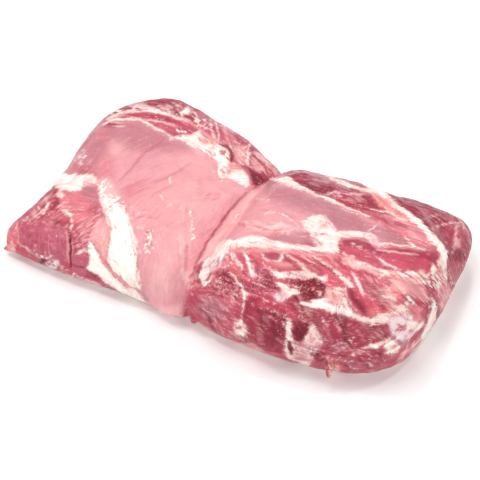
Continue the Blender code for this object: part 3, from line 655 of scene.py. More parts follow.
# The front face under the rib ends.
FRONT_FACE = {
    "left ground": patch(LEAN, "186,290 208,284 212,296 240,302 244,320 240,345 180,330", 5, 0.9),
    "left mauve": patch(DUSK, "200,296 218,298 226,308 222,322 206,318 198,308", 8, 0.55),
    "left dark": line(DEEP, "200,308 206,315 211,323 216,332", 3.4, 0.8, -0.4),
    "left dark two": line(DARK, "196,298 206,306 216,316 224,326", 3.0, 0.5),
    "left red edge": line(RED, "192,318 202,325 212,332 222,338", 3.6, 0.8),
    "left edge strand": line(BLUSH, "196,321 206,328 216,334", 1.4, 0.6),
    "left fibres": Flecks(BLUSH, "200,296 240,300 240,330 216,330 200,312", 40, 8, 1.2, -50, 10, 0.4),
    "centre muscle": patch(
        DARK,
        "246,300 256,294 270,296 282,306 290,318 289,334 284,344 282,354 262,350 250,342 243,322",
        3, rise=0.9,
    ),
    "centre core": patch(DEEP, "258,308 276,308 288,322 286,338 274,344 260,334", 6, 0.7),
    "centre red": patch(RED, "262,296 276,300 286,308 272,312 258,306", 4, 0.5),
    "centre fibres": Flecks(LEAN, "250,304 284,310 286,350 256,344", 44, 12, 1.6, -45, 10, 0.4),
    "centre strands": Flecks(BLUSH, "256,304 284,312 282,352 258,340", 12, 9, 1.1, -42, 10, 0.4),
    "centre film": Flecks(DUSK, "262,314 270,318 270,326 262,322", 5, 5, 1.6, -60, 20, 0.4),
    "cream window": patch(CREAM, "236,322 242,318 247,328 248,333 240,336 234,331", 3, 0.85),
    "window hole": patch(LEAN, "235,326 241,326 243,329 237,329", 1.6, 0.8),
    "low muscle": patch(DEEP, "237,336 246,335 252,342 248,346 240,342", 2.4, 0.8, rise=0.5),
    "low strands": Flecks(
        BLUSH, "216,330 240,334 262,350 300,362 262,358 226,340", 34, 12, 1.2, -26, 8, 0.55
    ),
    "bed": patch(LEAN, "262,350 284,354 316,364 334,374 290,366 260,356", 4, 0.8),
    "lilac bed": patch(FILM, "271,293 280,292 292,296 288,303 276,301", 3, 0.75),
    "cream knot": patch(CREAM, "276,278 284,284 290,288 298,290 302,298 294,300 286,294 280,288", 2.4, 0.9),
    "dark diagonal": patch(
        DARK, "284,300 296,294 308,302 318,316 324,330 314,330 300,318 290,308", 3, 0.9, rise=0.4
    ),
    "dark diagonal core": line(DEEP, "292,294 300,302 306,310", 3.6, 0.8, -0.4),
    "diagonal film": line(FILM, "298,296 304,304 310,314", 1.8, 0.6),
    "diagonal fibres": Flecks(BLUSH, "290,302 312,306 326,330 306,326", 20, 10, 1.1, -55, 8, 0.5),
    "cream field": patch(
        CREAM,
        "288,318 292,322 291,332 294,340 301,344 306,336 308,328 314,323 321,328 323,340 319,350 314,358 "
        "308,366 296,362 288,358 284,350 286,338",
        2,
    ),
    "field wet": patch(DUSK, "292,342 306,344 310,364 292,362", 6, 0.7),
    "field film": patch(FILM, "310,326 319,328 322,340 316,356 306,360 304,350 309,340", 2.4, 0.45),
    "field grey": Flecks(DUSK, "302,330 322,332 318,362 296,362", 22, 7, 1.5, 66, 16, 0.55),
    "field lens one": patch(DEEP, "291,332 298,326 306,322 310,326 306,334 302,341 296,342", 2),
    "field lens two": patch(DEEP, "287,341 290,341 294,350 291,355 288,350", 1.8),
    "field lens side": patch(DEEP, "292,322 300,320 304,326 296,330", 3, 0.8),
    "low dark": patch(CLOT, "311,354 318,351 325,354 326,360 318,362", 2.4, 0.85),
    "red wedge": patch(RED, "308,306 322,308 324,314 316,316", 3, 0.7),
    "strand fan": Flecks(BLUSH, "312,310 326,312 340,332 330,334", 12, 14, 1.3, -55, 8, 0.6),
    "right dark": patch(
        DARK,
        "322,312 345,314 362,320 376,324 392,322 392,336 380,342 364,348 345,350 326,340",
        3, 0.8, rise=0.6,
    ),
    "right deep": patch(DEEP, "338,312 346,318 350,332 350,346 344,344 341,328", 3, 0.75, -0.4),
    "right lobe one": patch(
        WINE, "316,307 326,310 336,322 344,342 338,350 328,344 320,330 314,316", 3, 0.85, rise=0.8
    ),
    "right lobe two": patch(
        WINE, "346,319 356,321 366,330 370,344 362,350 354,346 348,332", 3, 0.7, rise=0.8
    ),
    # Painted shade: dark lines in the gaps between the front lobes, over shallow real grooves.
    "right gap shade one": line(DEEP, "334,312 340,324 346,336 350,348", 3.0, 0.8, -0.5),
    "right gap shade two": line(DEEP, "311,312 317,326 323,338 329,350", 2.4, 0.7, -0.4),
    "right haze": Flecks(
        BLUSH, "322,312 362,320 392,324 388,338 350,350 326,340", 40, 8, 1.0, -58, 10, 0.55
    ),
    "right glints": Flecks(FAT, "318,312 366,322 372,344 340,348 326,336", 26, 2.4, 1.0, -50, 30, 0.7),
    "right film": line(FILM, "346,314 352,318 358,320", 2.4, 0.7),
    # Painted sheen and glints: grey-lilac flecks, white dots in the fat's colour and pale film-coloured dots
    # for the wet shine on the dark front muscle.
    "right painted sheen": Flecks(DUSK, "360,322 384,320 388,334 368,340", 30, 3, 1.3, 20, 70, 0.6),
    "right painted glints": Flecks(FAT, "368,320 378,318 380,326 370,328", 8, 2.6, 1.3, 20, 70, 0.8),
    "grey painted glints": Flecks(FILM, "322,338 346,340 348,350 326,350", 26, 3.4, 1.3, 0, 40, 0.6),
    "low flecks": Flecks(BLUSH, "330,348 380,350 376,360 340,362", 30, 3.4, 1.3, -10, 40, 0.55),
    "cream line": line(CREAM, "362,348 372,346 386,342 393,336", 4.4),
    "cream blob": patch(CREAM, "384,344 392,340 400,344 400,352 392,357 385,352", 2),
    "blob heart": patch(SALMON, "390,345 396,345 396,351 391,350", 2, 0.7),
    "bottom lean": patch(
        LEAN, "330,352 360,356 384,356 404,350 416,336 424,340 404,364 370,374 334,374", 4, 0.8, rise=0.5
    ),
    "bottom fibres": Flecks(DUSK, "336,358 384,360 384,372 340,370", 34, 9, 1.2, -18, 12, 0.6),
    "bottom deep": Flecks(DEEP, "330,356 390,352 380,366 340,368", 34, 8, 2.0, -14, 16, 0.7),
    # Painted glints: white dots in the fat's colour along the bottom.
    "bottom painted glints": Flecks(FAT, "330,350 392,348 384,370 340,374", 24, 3.0, 1.1, -14, 40, 0.55),
    "tassel": Flecks(SALMON, "328,360 338,360 341,380 330,380", 14, 10, 1.8, -80, 12, 0.9),
    "tassel tip": patch(CREAM, "328,372 334,368 340,372 339,380 329,380", 3, 0.7),
    "tassel root": line(RED, "334,360 340,366 342,371", 3.0, 0.8),
}

# Cream bands and lens muscles at the front of the right end.
FRONT_RIGHT = {
    "muscle bed": patch(
        RED, "338,268 360,270 384,284 396,300 400,314 380,316 350,310 336,296", 4, 0.9, rise=0.3
    ),
    "cream hollow": patch(
        CREAM, "326,286 338,288 345,290 348,304 356,314 340,312 322,308 300,304 316,300 328,296", 2.4
    ),
    "hollow blush": patch(BLUSH, "326,288 344,292 344,306 324,304", 4, 0.6),
    "red spot": patch(RED, "326,278 337,278 339,286 334,289 327,287", 2.4, 0.95),
    "hollow strands": Flecks(CORAL, "326,286 346,290 350,308 336,310 322,304", 26, 8, 1.6, -50, 16, 0.6),
    "band": patch(
        CREAM,
        "300,302 312,304 330,306 345,309 358,315 370,317 384,312 400,312 404,320 388,322 372,324 358,320 "
        "345,316 328,311 310,308",
        2, rise=0.4,
    ),
    "lens": patch(
        SLEEK,
        "345,285 352,284 359,290 365,298 372,306 379,313 372,318 362,316 353,309 347,298",
        1.8, rise=0.5,
    ),
    "lens shade": patch(WINE, "345,286 352,286 358,296 370,311 364,315 354,308 347,297", 3, 0.8),
    "lens core": line(DEEP, "349,288 354,299 362,309 368,314", 3.6, 0.6),
    "lens end": patch(CORAL, "366,310 378,308 377,317 370,318", 3, 0.8),
    "lens film": line(FILM, "345,286 347,296 352,306 360,314", 1.8, 0.8),
    "strip one": line(FILM, "350,272 356,279 361,288 364,297", 3.6),
    "strip two": patch(CREAM, "336,270 343,278 350,281 355,287 350,288 342,281", 2),
    "right muscle": patch(
        LEAN, "362,275 372,278 384,290 390,304 384,310 372,304 364,290", 3, 0.85, rise=0.6
    ),
    "right strands": Flecks(BLUSH, "352,268 372,274 390,298 384,310 366,296", 30, 12, 1.2, -52, 8, 0.6),
    "right deep strands": Flecks(DARK, "352,266 376,274 392,296 380,306 362,288", 20, 12, 1.5, -50, 8, 0.6),
    "pink field": patch(
        BLUSH, "384,284 392,290 398,300 412,302 422,310 420,324 404,330 392,322 388,306", 5, 0.65
    ),
    "pink field red": Flecks(
        RED, "384,280 404,284 420,300 422,314 404,312 390,300", 34, 9, 2.2, -48, 14, 0.65
    ),
    "pink field deep": Flecks(LEAN, "386,284 404,288 420,304 416,316 400,308", 16, 9, 1.6, -50, 12, 0.65),
    "pink field fat": Flecks(CREAM, "384,296 400,300 416,312 410,326 392,318", 26, 7, 2.6, -40, 40, 0.8),
    "field gloss": Flecks(FAT, "403,288 413,290 415,304 406,308", 12, 5, 1.4, 62, 30, 1.0),
    "salmon knots": Flecks(SALMON, "390,282 404,284 402,296 392,292", 6, 6, 3, -60, 20, 0.8),
    "red knots": Flecks(CORAL, "388,286 402,292 398,300", 7, 6, 2.2, -50, 20, 0.8),
    "lilac field": patch(FILM, "388,318 404,314 418,318 418,330 408,342 396,342 390,332", 3, 0.9),
    "field window": patch(LEAN, "393,324 405,324 405,331 395,331", 2, 0.85),
    "field window light": Flecks(FILM, "393,324 405,324 405,331 395,331", 7, 4, 1.4, 10, 60, 0.8),
    "field flecks": Flecks(DUSK, "388,334 400,336 400,343 392,344", 10, 3, 1.3, 0, 60, 0.7),
    "corner cream": patch(CREAM, "406,320 416,322 424,320 423,328 416,331 406,330", 2, rise=0.4),
    "corner coral": patch(CORAL, "409,308 420,308 420,321 412,320", 3, 0.75),
    "corner lens": patch(DUSK, "399,342 408,338 408,346 402,350", 2.4, 0.8),
    # Painted glints: white flecks in the fat's colour for the wet glints on the pink field.
    "drops": Flecks(FAT, "402,284 414,288 416,302 408,300", 18, 4, 1.6, 55, 40, 0.9),
    "wet red": Flecks(RED, "400,284 424,288 428,306 412,310", 26, 7, 2.0, -60, 25, 0.6),
    "wet dark": Flecks(LEAN, "410,292 428,290 426,318 416,316", 18, 7, 2.0, -70, 20, 0.6),
    "border": line(DARK, "431,300 428,313 425,324 419,332 410,341 402,352", 3.0, 0.9, -0.4),
    "outer strip": patch(
        CREAM, "431,298 436,300 439,308 436,318 432,328 426,338 418,348 416,345 422,334 427,324 431,312", 2
    ),
    "outer lean": patch(LEAN, "410,342 418,334 421,338 414,350 404,358 398,356", 3, 0.8),
    "outer strands": Flecks(BLUSH, "404,348 418,336 414,352 396,364", 14, 10, 1.3, 48, 8, 0.7),
}

# The right end: its fat edge, and the muscles between it and the fat meeting.
RIGHT_END = {
    "rose muscle": patch(
        ROSE,
        "362,210 380,213 400,218 418,226 432,236 442,248 436,252 420,250 406,240 392,230 376,221",
        2.4, 0.9, rise=0.5,
    ),
    "rose muscle red": patch(WINE, "362,208 380,213 398,220 412,230 402,231 388,226 372,219", 4, 0.6),
    "rose muscle end": patch(PALE, "408,228 428,236 430,246 414,242", 5, 0.3),
    "rose strands": Flecks(BLUSH, "370,211 404,220 432,240 410,238 380,222", 22, 14, 1.2, -26, 8, 0.4),
    "rose deep": Flecks(LEAN, "366,212 396,220 404,232 384,224", 12, 14, 1.5, -28, 6, 0.6),
    "split one": line(CREAM, "372,209 388,212 400,217 413,222", 2.0),
    "split two": line(FAT, "389,213 397,217 406,220", 2.2, 0.9),
    "split three": line(CREAM, "404,237 410,243 416,248 428,251", 2.4),
    "pale tail": patch(MAUVE, "372,224 388,229 402,238 412,249 396,245 380,239 370,232", 2.4),
    "tail film": Flecks(FILM, "364,223 376,225 378,232 368,234", 10, 6, 1.3, 20, 20, 0.5),
    "tail line": line(CREAM, "366,234 376,243 392,245 412,247", 2.6),
    "tail line film": patch(FILM, "372,238 384,242 390,247 378,249", 3, 0.8),
    "coral seam": line(CORAL, "376,248 392,246 408,248", 2.4, 0.7),
    "lens one": patch(WINE, "340,240 352,238 366,242 378,250 374,254 360,248 344,245", 2, rise=0.6),
    "lens one ring": line(BLOOM, "338,243 344,239 358,239 370,243 380,250", 1.8, 0.7),
    # Painted glints: pale film-coloured dots on lens one.
    "lens one painted glints": Flecks(FILM, "350,242 360,243 362,248 352,248", 6, 3, 1.5, -20, 30, 0.8),
    "lens two": patch(
        WINE, "374,252 390,249 410,250 428,255 438,258 436,263 420,258 400,255 384,254", 1.8, 0.9, rise=0.5
    ),
    "lens two line": line(BLUSH, "376,250 392,252 406,254 418,255", 1.6, 0.9),
    "lens three": patch(
        SLEEK, "378,256 396,254 414,257 432,262 438,268 430,275 412,272 396,270 382,262", 2.4, rise=0.6
    ),
    "lens three core": patch(LEAN, "380,256 396,255 412,258 424,264 408,266 392,262", 4, 0.6),
    "lens three line": line(FILM, "374,252 377,259 386,264 400,270", 2.0),
    "low muscle": patch(
        SLEEK, "342,246 356,249 374,254 380,264 386,271 372,268 356,262 344,256", 2.4, rise=0.5
    ),
    "low muscle dark": patch(LEAN, "356,250 374,255 380,265 366,263 354,257", 4, 0.8),
    "low muscle film": Flecks(BLUSH, "340,252 352,256 362,266 350,268 342,262", 22, 5, 1.8, -35, 25, 0.8),
    "pink fold": patch(BLUSH, "344,258 356,262 372,268 388,272 380,276 364,270 348,266", 3, 0.8, rise=0.3),
    "fold line": line(CREAM, "352,262 364,264 378,270 390,272", 2.2, 0.8),
    "cream band": patch(
        CREAM,
        "378,272 392,271 406,273 424,271 430,276 436,286 424,284 408,280 392,277 382,276",
        2.4, rise=0.3,
    ),
    "band blush": Flecks(SALMON, "380,272 426,271 436,284 400,281", 36, 8, 2.2, -14, 20, 0.8),
    "low fan": patch(BLOOM, "384,278 404,280 424,286 430,300 420,300 404,290", 4, 0.8),
    "low fan strands": Flecks(BLUSH, "384,277 420,282 432,302 412,298 394,288", 24, 12, 1.4, -35, 14, 0.6),
    "end lean": patch(RED, "428,262 440,262 440,282 432,284 424,274", 3, 0.8),
    "end dark": patch(LEAN, "428,272 438,268 440,280 432,281", 3, 0.7),
    "orange strip": patch(
        SALMON, "367,188 380,190 392,199 404,209 413,219 404,221 394,215 384,208 374,199", 2.2, rise=0.4
    ),
    "orange core": line(EMBER, "372,192 380,198 391,206 400,213 408,218", 5.4, 0.65),
    "orange strands": Flecks(
        CORAL, "370,190 384,196 398,206 410,218 398,216 384,206", 20, 9, 1.3, -38, 8, 0.5
    ),
    "fat edge": patch(
        CREAM,
        "362,191 372,188 382,190 392,196 400,204 412,209 420,217 428,224 432,232 441,239 448,247 449,258 "
        "445,270 447,280 450,290 444,286 440,274 438,264 441,254 436,250 430,244 424,232 414,221 402,212 "
        "392,204 380,196 370,193",
        1.8, rise=0.5,
    ),
    "fat edge red": Flecks(
        CORAL,
        "366,191 392,197 420,216 434,230 444,250 436,248 424,232 400,210 380,198",
        7, 10, 1.4, -38, 12, 0.4,
    ),
    "fat edge white": line(FAT, "392,206 406,214 420,224 432,238 442,250 444,262", 4.4, 0.8),
    "edge notches": Flecks(
        CREAM, "386,190 402,198 420,210 434,226 426,224 404,208", 14, 5, 2.4, -10, 50, 0.9
    ),
    "end strands": Flecks(CREAM, "430,266 444,262 448,296 436,300", 22, 12, 2.0, -72, 12, 0.85),
    "end salmon": Flecks(SALMON, "438,264 446,264 448,290 442,290", 8, 10, 2.0, -76, 8, 0.8),
}

# The dark lower muscle that shows as a shelf past the fat edge.
SHELF = {
    "ground": patch(
        DARK,
        "384,184 410,186 480,210 480,300 436,320 436,300 449,290 446,276 446,262 447,251 439,241 430,231 "
        "422,222 412,214 402,208 394,202 386,195",
        1.6,
    ),
    "shade": Flecks(DEEP, "392,190 450,208 462,240 446,236 420,212 400,202", 50, 8, 2.4, 18, 20, 0.25),
    "grain": Flecks(
        LEAN, "392,190 450,206 470,240 466,264 452,270 446,240 420,212", 80, 8, 1.8, 20, 40, 0.45
    ),
    "pink end": patch(LEAN, "440,222 462,222 471,240 466,252 454,250 446,238", 7, 0.45),
    "mauve foot": patch(ROSE, "450,262 462,262 459,284 452,284 448,270", 6, 0.35),
    "line one": line(BLUSH, "432,230 438,226 448,223 462,222", 1.6, 0.8),
    "line two": line(BLUSH, "457,222 456,234 455,244 452,254", 1.8, 0.8),
    "line three": line(BLUSH, "424,219 432,216 440,214", 1.2, 0.5),
    "spot": patch(BLUSH, "454,238 460,240 460,248 455,247", 3, 0.7),
    "eye": patch(DEEP, "454,250 460,251 466,256 462,262 456,260", 3, 0.7),
    "rim light": line(BLUSH, "452,213 460,220 468,232 471,244", 1.4, 0.5),
    "foot": patch(ROSE, "438,288 450,284 453,292 446,310 440,314 438,300", 3, 0.8),
    "foot tick": line(FILM, "441,294 450,297", 1.6, 0.9),
    "foot film": line(FILM, "450,283 456,283", 1.6, 0.7),
    "foot strands": Flecks(BLUSH, "438,286 450,288 446,310 438,308", 12, 6, 1.3, -60, 20, 0.7),
}

REGIONS = {
    "grounds": GROUNDS,
    "left top": LEFT_TOP,
    "left back": LEFT_BACK,
    "left corner": LEFT_CORNER,
    "left fat": LEFT_FAT,
    "crease": CREASE,
    "right top": RIGHT_TOP,
    "rib ends": RIB_ENDS,
    "front face": FRONT_FACE,
    "front fat": FRONT_FAT,
    "front right": FRONT_RIGHT,
    "right end": RIGHT_END,
    "shelf": SHELF,
}

# Lines that the muscle fibres follow, as photo pixels.
FIBRE_GUIDES = (
    "120,180 137,161 162,140",
    "120,190 150,178",
    "150,183 190,164",
    "110,135 150,128 190,148",
    "130,118 160,118 195,130",
    "140,104 170,108 200,122",
    "212,122 217,140",
    "245,150 268,176",
    "66,170 90,150",
    "64,196 96,196",
    "74,212 98,210",
    "78,230 104,206",
    "30,214 56,196",
    "32,226 34,252",
    "56,230 54,254",
    "20,252 60,272 110,288",
    "76,246 88,242",
    "106,190 118,225 124,268",
    "96,252 112,276 138,298",
    "150,250 150,300",
    "172,250 172,306",
    "186,240 184,280",
    "160,215 200,190 236,180",
    "240,200 200,255",
    "224,240 270,200 300,196",
    "245,215 300,212 350,222",
    "262,232 312,240",
    "290,176 330,188 385,214",
    "370,216 430,246",
    "340,242 380,248 436,260",
    "232,252 250,280",
    "264,264 318,276",
    "300,254 350,282",
    "210,290 240,285",
    "204,300 230,330",
    "250,304 282,346",
    "296,300 326,340",
    "338,270 372,312",
    "356,268 398,306",
    "402,276 430,300",
    "345,318 352,346",
    "330,350 380,358",
    "230,332 300,360 370,372",
    "396,364 428,328 438,300",
    "400,196 440,216",
    "456,224 464,250",
    "450,264 456,286",
)

# How a line thins towards its ends.
LINE_TAPER = 0.65
LINE_TAPER_POWER = 3

# Pixels that a fleck's edge fades over, and how far flecks differ from each other.
FLECK_SOFT = 2.0
FLECK_LENGTHS = (0.5, 1.2)
FLECK_WIDTHS = (0.8, 1.5)
FLECK_COVERS = (0.6, 1.0)
FLECK_BEND = 0.12
LEAST_REACH = 1e-6


@dataclass(frozen=True)
class PhotoView:
    """The camera that the photograph was taken from, worked out from the loin's outline.

    azimuth and elevation: Its direction in degrees. distance: Metres from the target.
    focal: Focal length in pixels of the frame. target: What it points at, in metres.
    sensor: Width of the sensor in millimetres. near: Nearest distance that it shows, in metres.
    """

    azimuth: float = 27.0
    elevation: float = 46.0
    distance: float = 1.10
    focal: float = 1486.5
    target: tuple[float, float, float] = (0.0052, -0.0191, 0.026)
    sensor: float = 36.0
    near: float = 0.05

    def axes(self) -> tuple[np.ndarray, np.ndarray, np.ndarray]:
        """Work out how the camera is turned.

        Returns:
            The view's right, up and back directions.
        """
        around, rise = math.radians(self.azimuth), math.radians(self.elevation)
        back = np.array(
            [math.sin(around) * math.cos(rise), -math.cos(around) * math.cos(rise), math.sin(rise)]
        )
        right = np.array([math.cos(around), math.sin(around), 0.0])
        return right, np.cross(back, right), back

    def project(self, places: np.ndarray) -> np.ndarray:
        """Find where places fall in the photo.

        Args:
            places: Points in metres, one a row.

        Returns:
            Photo pixels, one pair a row.
        """
        right, up, back = self.axes()
        offset = places - np.array(self.target)
        depth = self.distance - offset @ back
        middle = FRAME_PIXELS / 2
        across = middle + self.focal * (offset @ right) / depth
        down = middle - self.focal * (offset @ up) / depth
        return np.stack([across, down], axis=1)

    def facing(self, places: np.ndarray, normals: np.ndarray) -> np.ndarray:
        """Measure how squarely each place faces the camera.

        Args:
            places: Points in metres, one a row.
            normals: The normal at each point.

        Returns:
            A value from -1 to 1 for each point.
        """
        eye = np.array(self.target) + self.axes()[2] * self.distance
        ray = eye - places
        return np.sum(ray * normals, axis=1) / np.linalg.norm(ray, axis=1)

    def place_camera(self) -> None:
        """Make the scene's camera at the photo's view."""
        right, up, back = self.axes()
        lens = bpy.data.cameras.new("photo_camera")
        lens.sensor_width = self.sensor
        lens.lens = self.focal * self.sensor / FRAME_PIXELS
        lens.clip_start = self.near
        camera = bpy.data.objects.new("photo_camera", lens)
        turn = Matrix((right, up, back)).transposed().to_4x4()
        eye = Vector(self.target) + Vector(back) * self.distance
        camera.matrix_world = Matrix.Translation(eye) @ turn
        bpy.context.scene.collection.objects.link(camera)
        bpy.context.scene.camera = camera


def read_path(path: str) -> np.ndarray:
    """The points of a path written as "x,y x,y"."""
    return np.array([[float(value) for value in point.split(",")] for point in path.split()])


def nearest_on_path(pixels: np.ndarray, path: np.ndarray) -> tuple[np.ndarray, np.ndarray]:
    """Measure how far pixels lie from a path.

    Args:
        pixels: Places in the photo, one a row.
        path: The path's points, one a row.

    Returns:
        Distance from the path, and the share of its length at the nearest point.
    """
    lengths = np.linalg.norm(np.diff(path, axis=0), axis=1)
    before = np.concatenate([[0.0], np.cumsum(lengths)])
    nearest = np.full(len(pixels), np.inf)
    along = np.zeros(len(pixels))
    for i, (start, end) in enumerate(zip(path, path[1:])):
        run = end - start
        share = np.clip((pixels - start) @ run / (run @ run), 0, 1)
        gap = np.linalg.norm(pixels - start - share[:, None] * run, axis=1)
        closer = gap < nearest
        nearest = np.where(closer, gap, nearest)
        along = np.where(closer, (before[i] + share * lengths[i]) / before[-1], along)
    return nearest, along


def inside_path(pixels: np.ndarray, path: np.ndarray) -> np.ndarray:
    """Tell which pixels lie inside a closed path.

    Args:
        pixels: Places in the photo, one a row.
        path: The path's points, one a row.

    Returns:
        Whether each pixel is inside.
    """
    inside = np.zeros(len(pixels), bool)
    x, y = pixels[:, 0], pixels[:, 1]
    for (x0, y0), (x1, y1) in zip(path, np.roll(path, -1, axis=0)):
        if y0 != y1:
            crosses = (y0 > y) != (y1 > y)
            inside ^= crosses & (x < x0 + (y - y0) * (x1 - x0) / (y1 - y0))
    return inside


def mark_cover(mark: Mark, pixels: np.ndarray) -> np.ndarray:
    """Work out how much of a mark covers each pixel.

    Args:
        mark: A patch or a line.
        pixels: Places in the photo, one a row.

    Returns:
        A value from 0 to the mark's own cover for each pixel.
    """
    path = read_path(mark.path)
    if mark.width:
        gap, along = nearest_on_path(pixels, path)
        slimmer = 1 - LINE_TAPER * np.abs(2 * along - 1) ** LINE_TAPER_POWER
        edge = gap - mark.width * slimmer / 2
    else:
        closed = np.vstack([path, path[:1]])
        gap, _ = nearest_on_path(pixels, closed)
        edge = np.where(inside_path(pixels, path), -gap, gap)
    return mark.cover * soft_step(0.5 - edge / (mark.soft * mark.tissue.value.feather))


def fleck_marks(flecks: Flecks, seed: int) -> list[Mark]:
    """Scatter short strokes in a patch.

    Args:
        flecks: What to scatter and where.
        seed: Starts the scatter, so that it is the same in each run.

    Returns:
        One line mark for each stroke.
    """
    chance = np.random.default_rng(seed)
    outline = read_path(flecks.path)
    low, high = outline.min(axis=0), outline.max(axis=0)
    soft = FLECK_SOFT / flecks.tissue.value.feather
    marks = []
    while len(marks) < flecks.count:
        middle = low + chance.random(2) * (high - low)
        slope = math.radians(flecks.angle + flecks.spread * chance.uniform(-1, 1))
        reach = flecks.length * chance.uniform(*FLECK_LENGTHS) / 2
        bend = chance.uniform(-FLECK_BEND, FLECK_BEND) * flecks.length
        width = flecks.width * chance.uniform(*FLECK_WIDTHS)
        cover = flecks.cover * chance.uniform(*FLECK_COVERS)
        if not inside_path(middle[None, :], outline)[0]:
            continue
        step = np.array([math.cos(slope), -math.sin(slope)]) * reach
        side = np.array([step[1], -step[0]]) / max(reach, LEAST_REACH) * bend
        points = (middle - step, middle + side, middle + step)
        path = " ".join(f"{x:.1f},{y:.1f}" for x, y in points)
        marks.append(Mark(flecks.tissue, path, width, soft, cover))
    return marks


class Layer(Enum):
    """What the paint layers hold, with the column of each."""

    RED = 0
    GREEN = 1
    BLUE = 2
    FAT = 3
    WARM = 4
    FILM = 5
    MARBLE = 6
    CRUMB = 7
    GRAIN = 8
    RISE = 9


def tissue_layers(tissue: Tissue) -> np.ndarray:
    """Read the values that a tissue paints.

    Args:
        tissue: The tissue.

    Returns:
        One value for each layer, in Layer's order.
    """
    look = tissue.value
    red, green, blue, _ = linear(look.tone)
    kept = (look.fat, look.warm, look.film, look.marble, look.crumb, look.grain, look.rise)
    return np.array([red, green, blue, *kept])


def noise_at(places: np.ndarray, size: float, shift: float = 0.0) -> np.ndarray:
    """Smooth noise from -1 to 1 at places, with grains of a size in metres."""
    offset = Vector((shift, -shift, shift))
    return np.array([noise.noise(Vector(place) / size + offset) for place in places])


def blend(first: np.ndarray, second: np.ndarray, share: np.ndarray) -> np.ndarray:
    """The first layers, with a share of the second over them."""
    return first * (1 - share) + second * share


@dataclass(frozen=True)
class HiddenSides:
    """Paint of the sides that the photo doesn't show: marbled muscle over a cap of fat.

    Sizes are in metres. An edge is the noise level where something starts, and the range that
    it fades in over. cloud: Broad dark and red clouds in the muscle. strand: Strands of fat,
    drawn out by squeeze. cap: The fat cap underneath, which climbs to cap_level and wavers.
    window: Thin places in the cap, where the muscle blushes through.
    """

    cloud_size: float = 0.030
    cloud_contrast: float = 1.3
    cloud_shift: float = 3.0
    strand_size: float = 0.006
    strand_squeeze: tuple[float, float, float] = (0.4, 0.4, 1.6)
    strand_shift: float = 11.0
    strand_edge: tuple[float, float] = (0.28, 0.12)
    cap_level: float = 0.012
    cap_waver: float = 0.8
    cap_fade: float = 0.004
    cap_turn: tuple[float, float] = (-0.3, 0.3)
    window_size: float = 0.022
    window_shift: float = 19.0
    window_edge: tuple[float, float] = (0.30, 0.15)
    window_cover: float = 0.8

    def layers(self, places: np.ndarray, normals: np.ndarray) -> np.ndarray:
        """Paint every tissue layer.

        Args:
            places: The mesh's points in metres.
            normals: The normal at each point.

        Returns:
            One row of layers for each point.
        """
        cloud = noise_at(places, self.cloud_size, self.cloud_shift)[:, None]
        drawn = noise_at(
            places * np.array(self.strand_squeeze), self.strand_size, self.strand_shift
        )
        dark = soft_step(0.5 + self.cloud_contrast * cloud)
        muscle = tissue_layers(DARK) * dark + tissue_layers(RED) * (1 - dark)
        start, fade = self.strand_edge
        strand = soft_step((drawn - start) / fade)[:, None]
        muscle = blend(muscle, tissue_layers(CREAM), strand)
        start, fade = self.window_edge
        window = soft_step((noise_at(places, self.window_size, self.window_shift) - start) / fade)
        window = window[:, None] * self.window_cover
        fat = blend(tissue_layers(CREAM), tissue_layers(BLOOM), window)
        return blend(muscle, fat, self.cap(places, normals, cloud[:, 0])[:, None])

    def cap(self, places: np.ndarray, normals: np.ndarray, cloud: np.ndarray) -> np.ndarray:
        """Work out where the fat cap lies.

        Args:
            places: The mesh's points in metres.
            normals: The normal at each point.
            cloud: Broad noise at each point, which makes the cap's edge waver.

        Returns:
            The cap's cover at each point, from 0 to 1.
        """
        height = places[:, 2] - self.cap_level * (1 + self.cap_waver * cloud)
        low = soft_step(0.5 - height / self.cap_fade)
        start, fade = self.cap_turn
        return np.maximum(low, soft_step((start - normals[:, 2]) / fade))


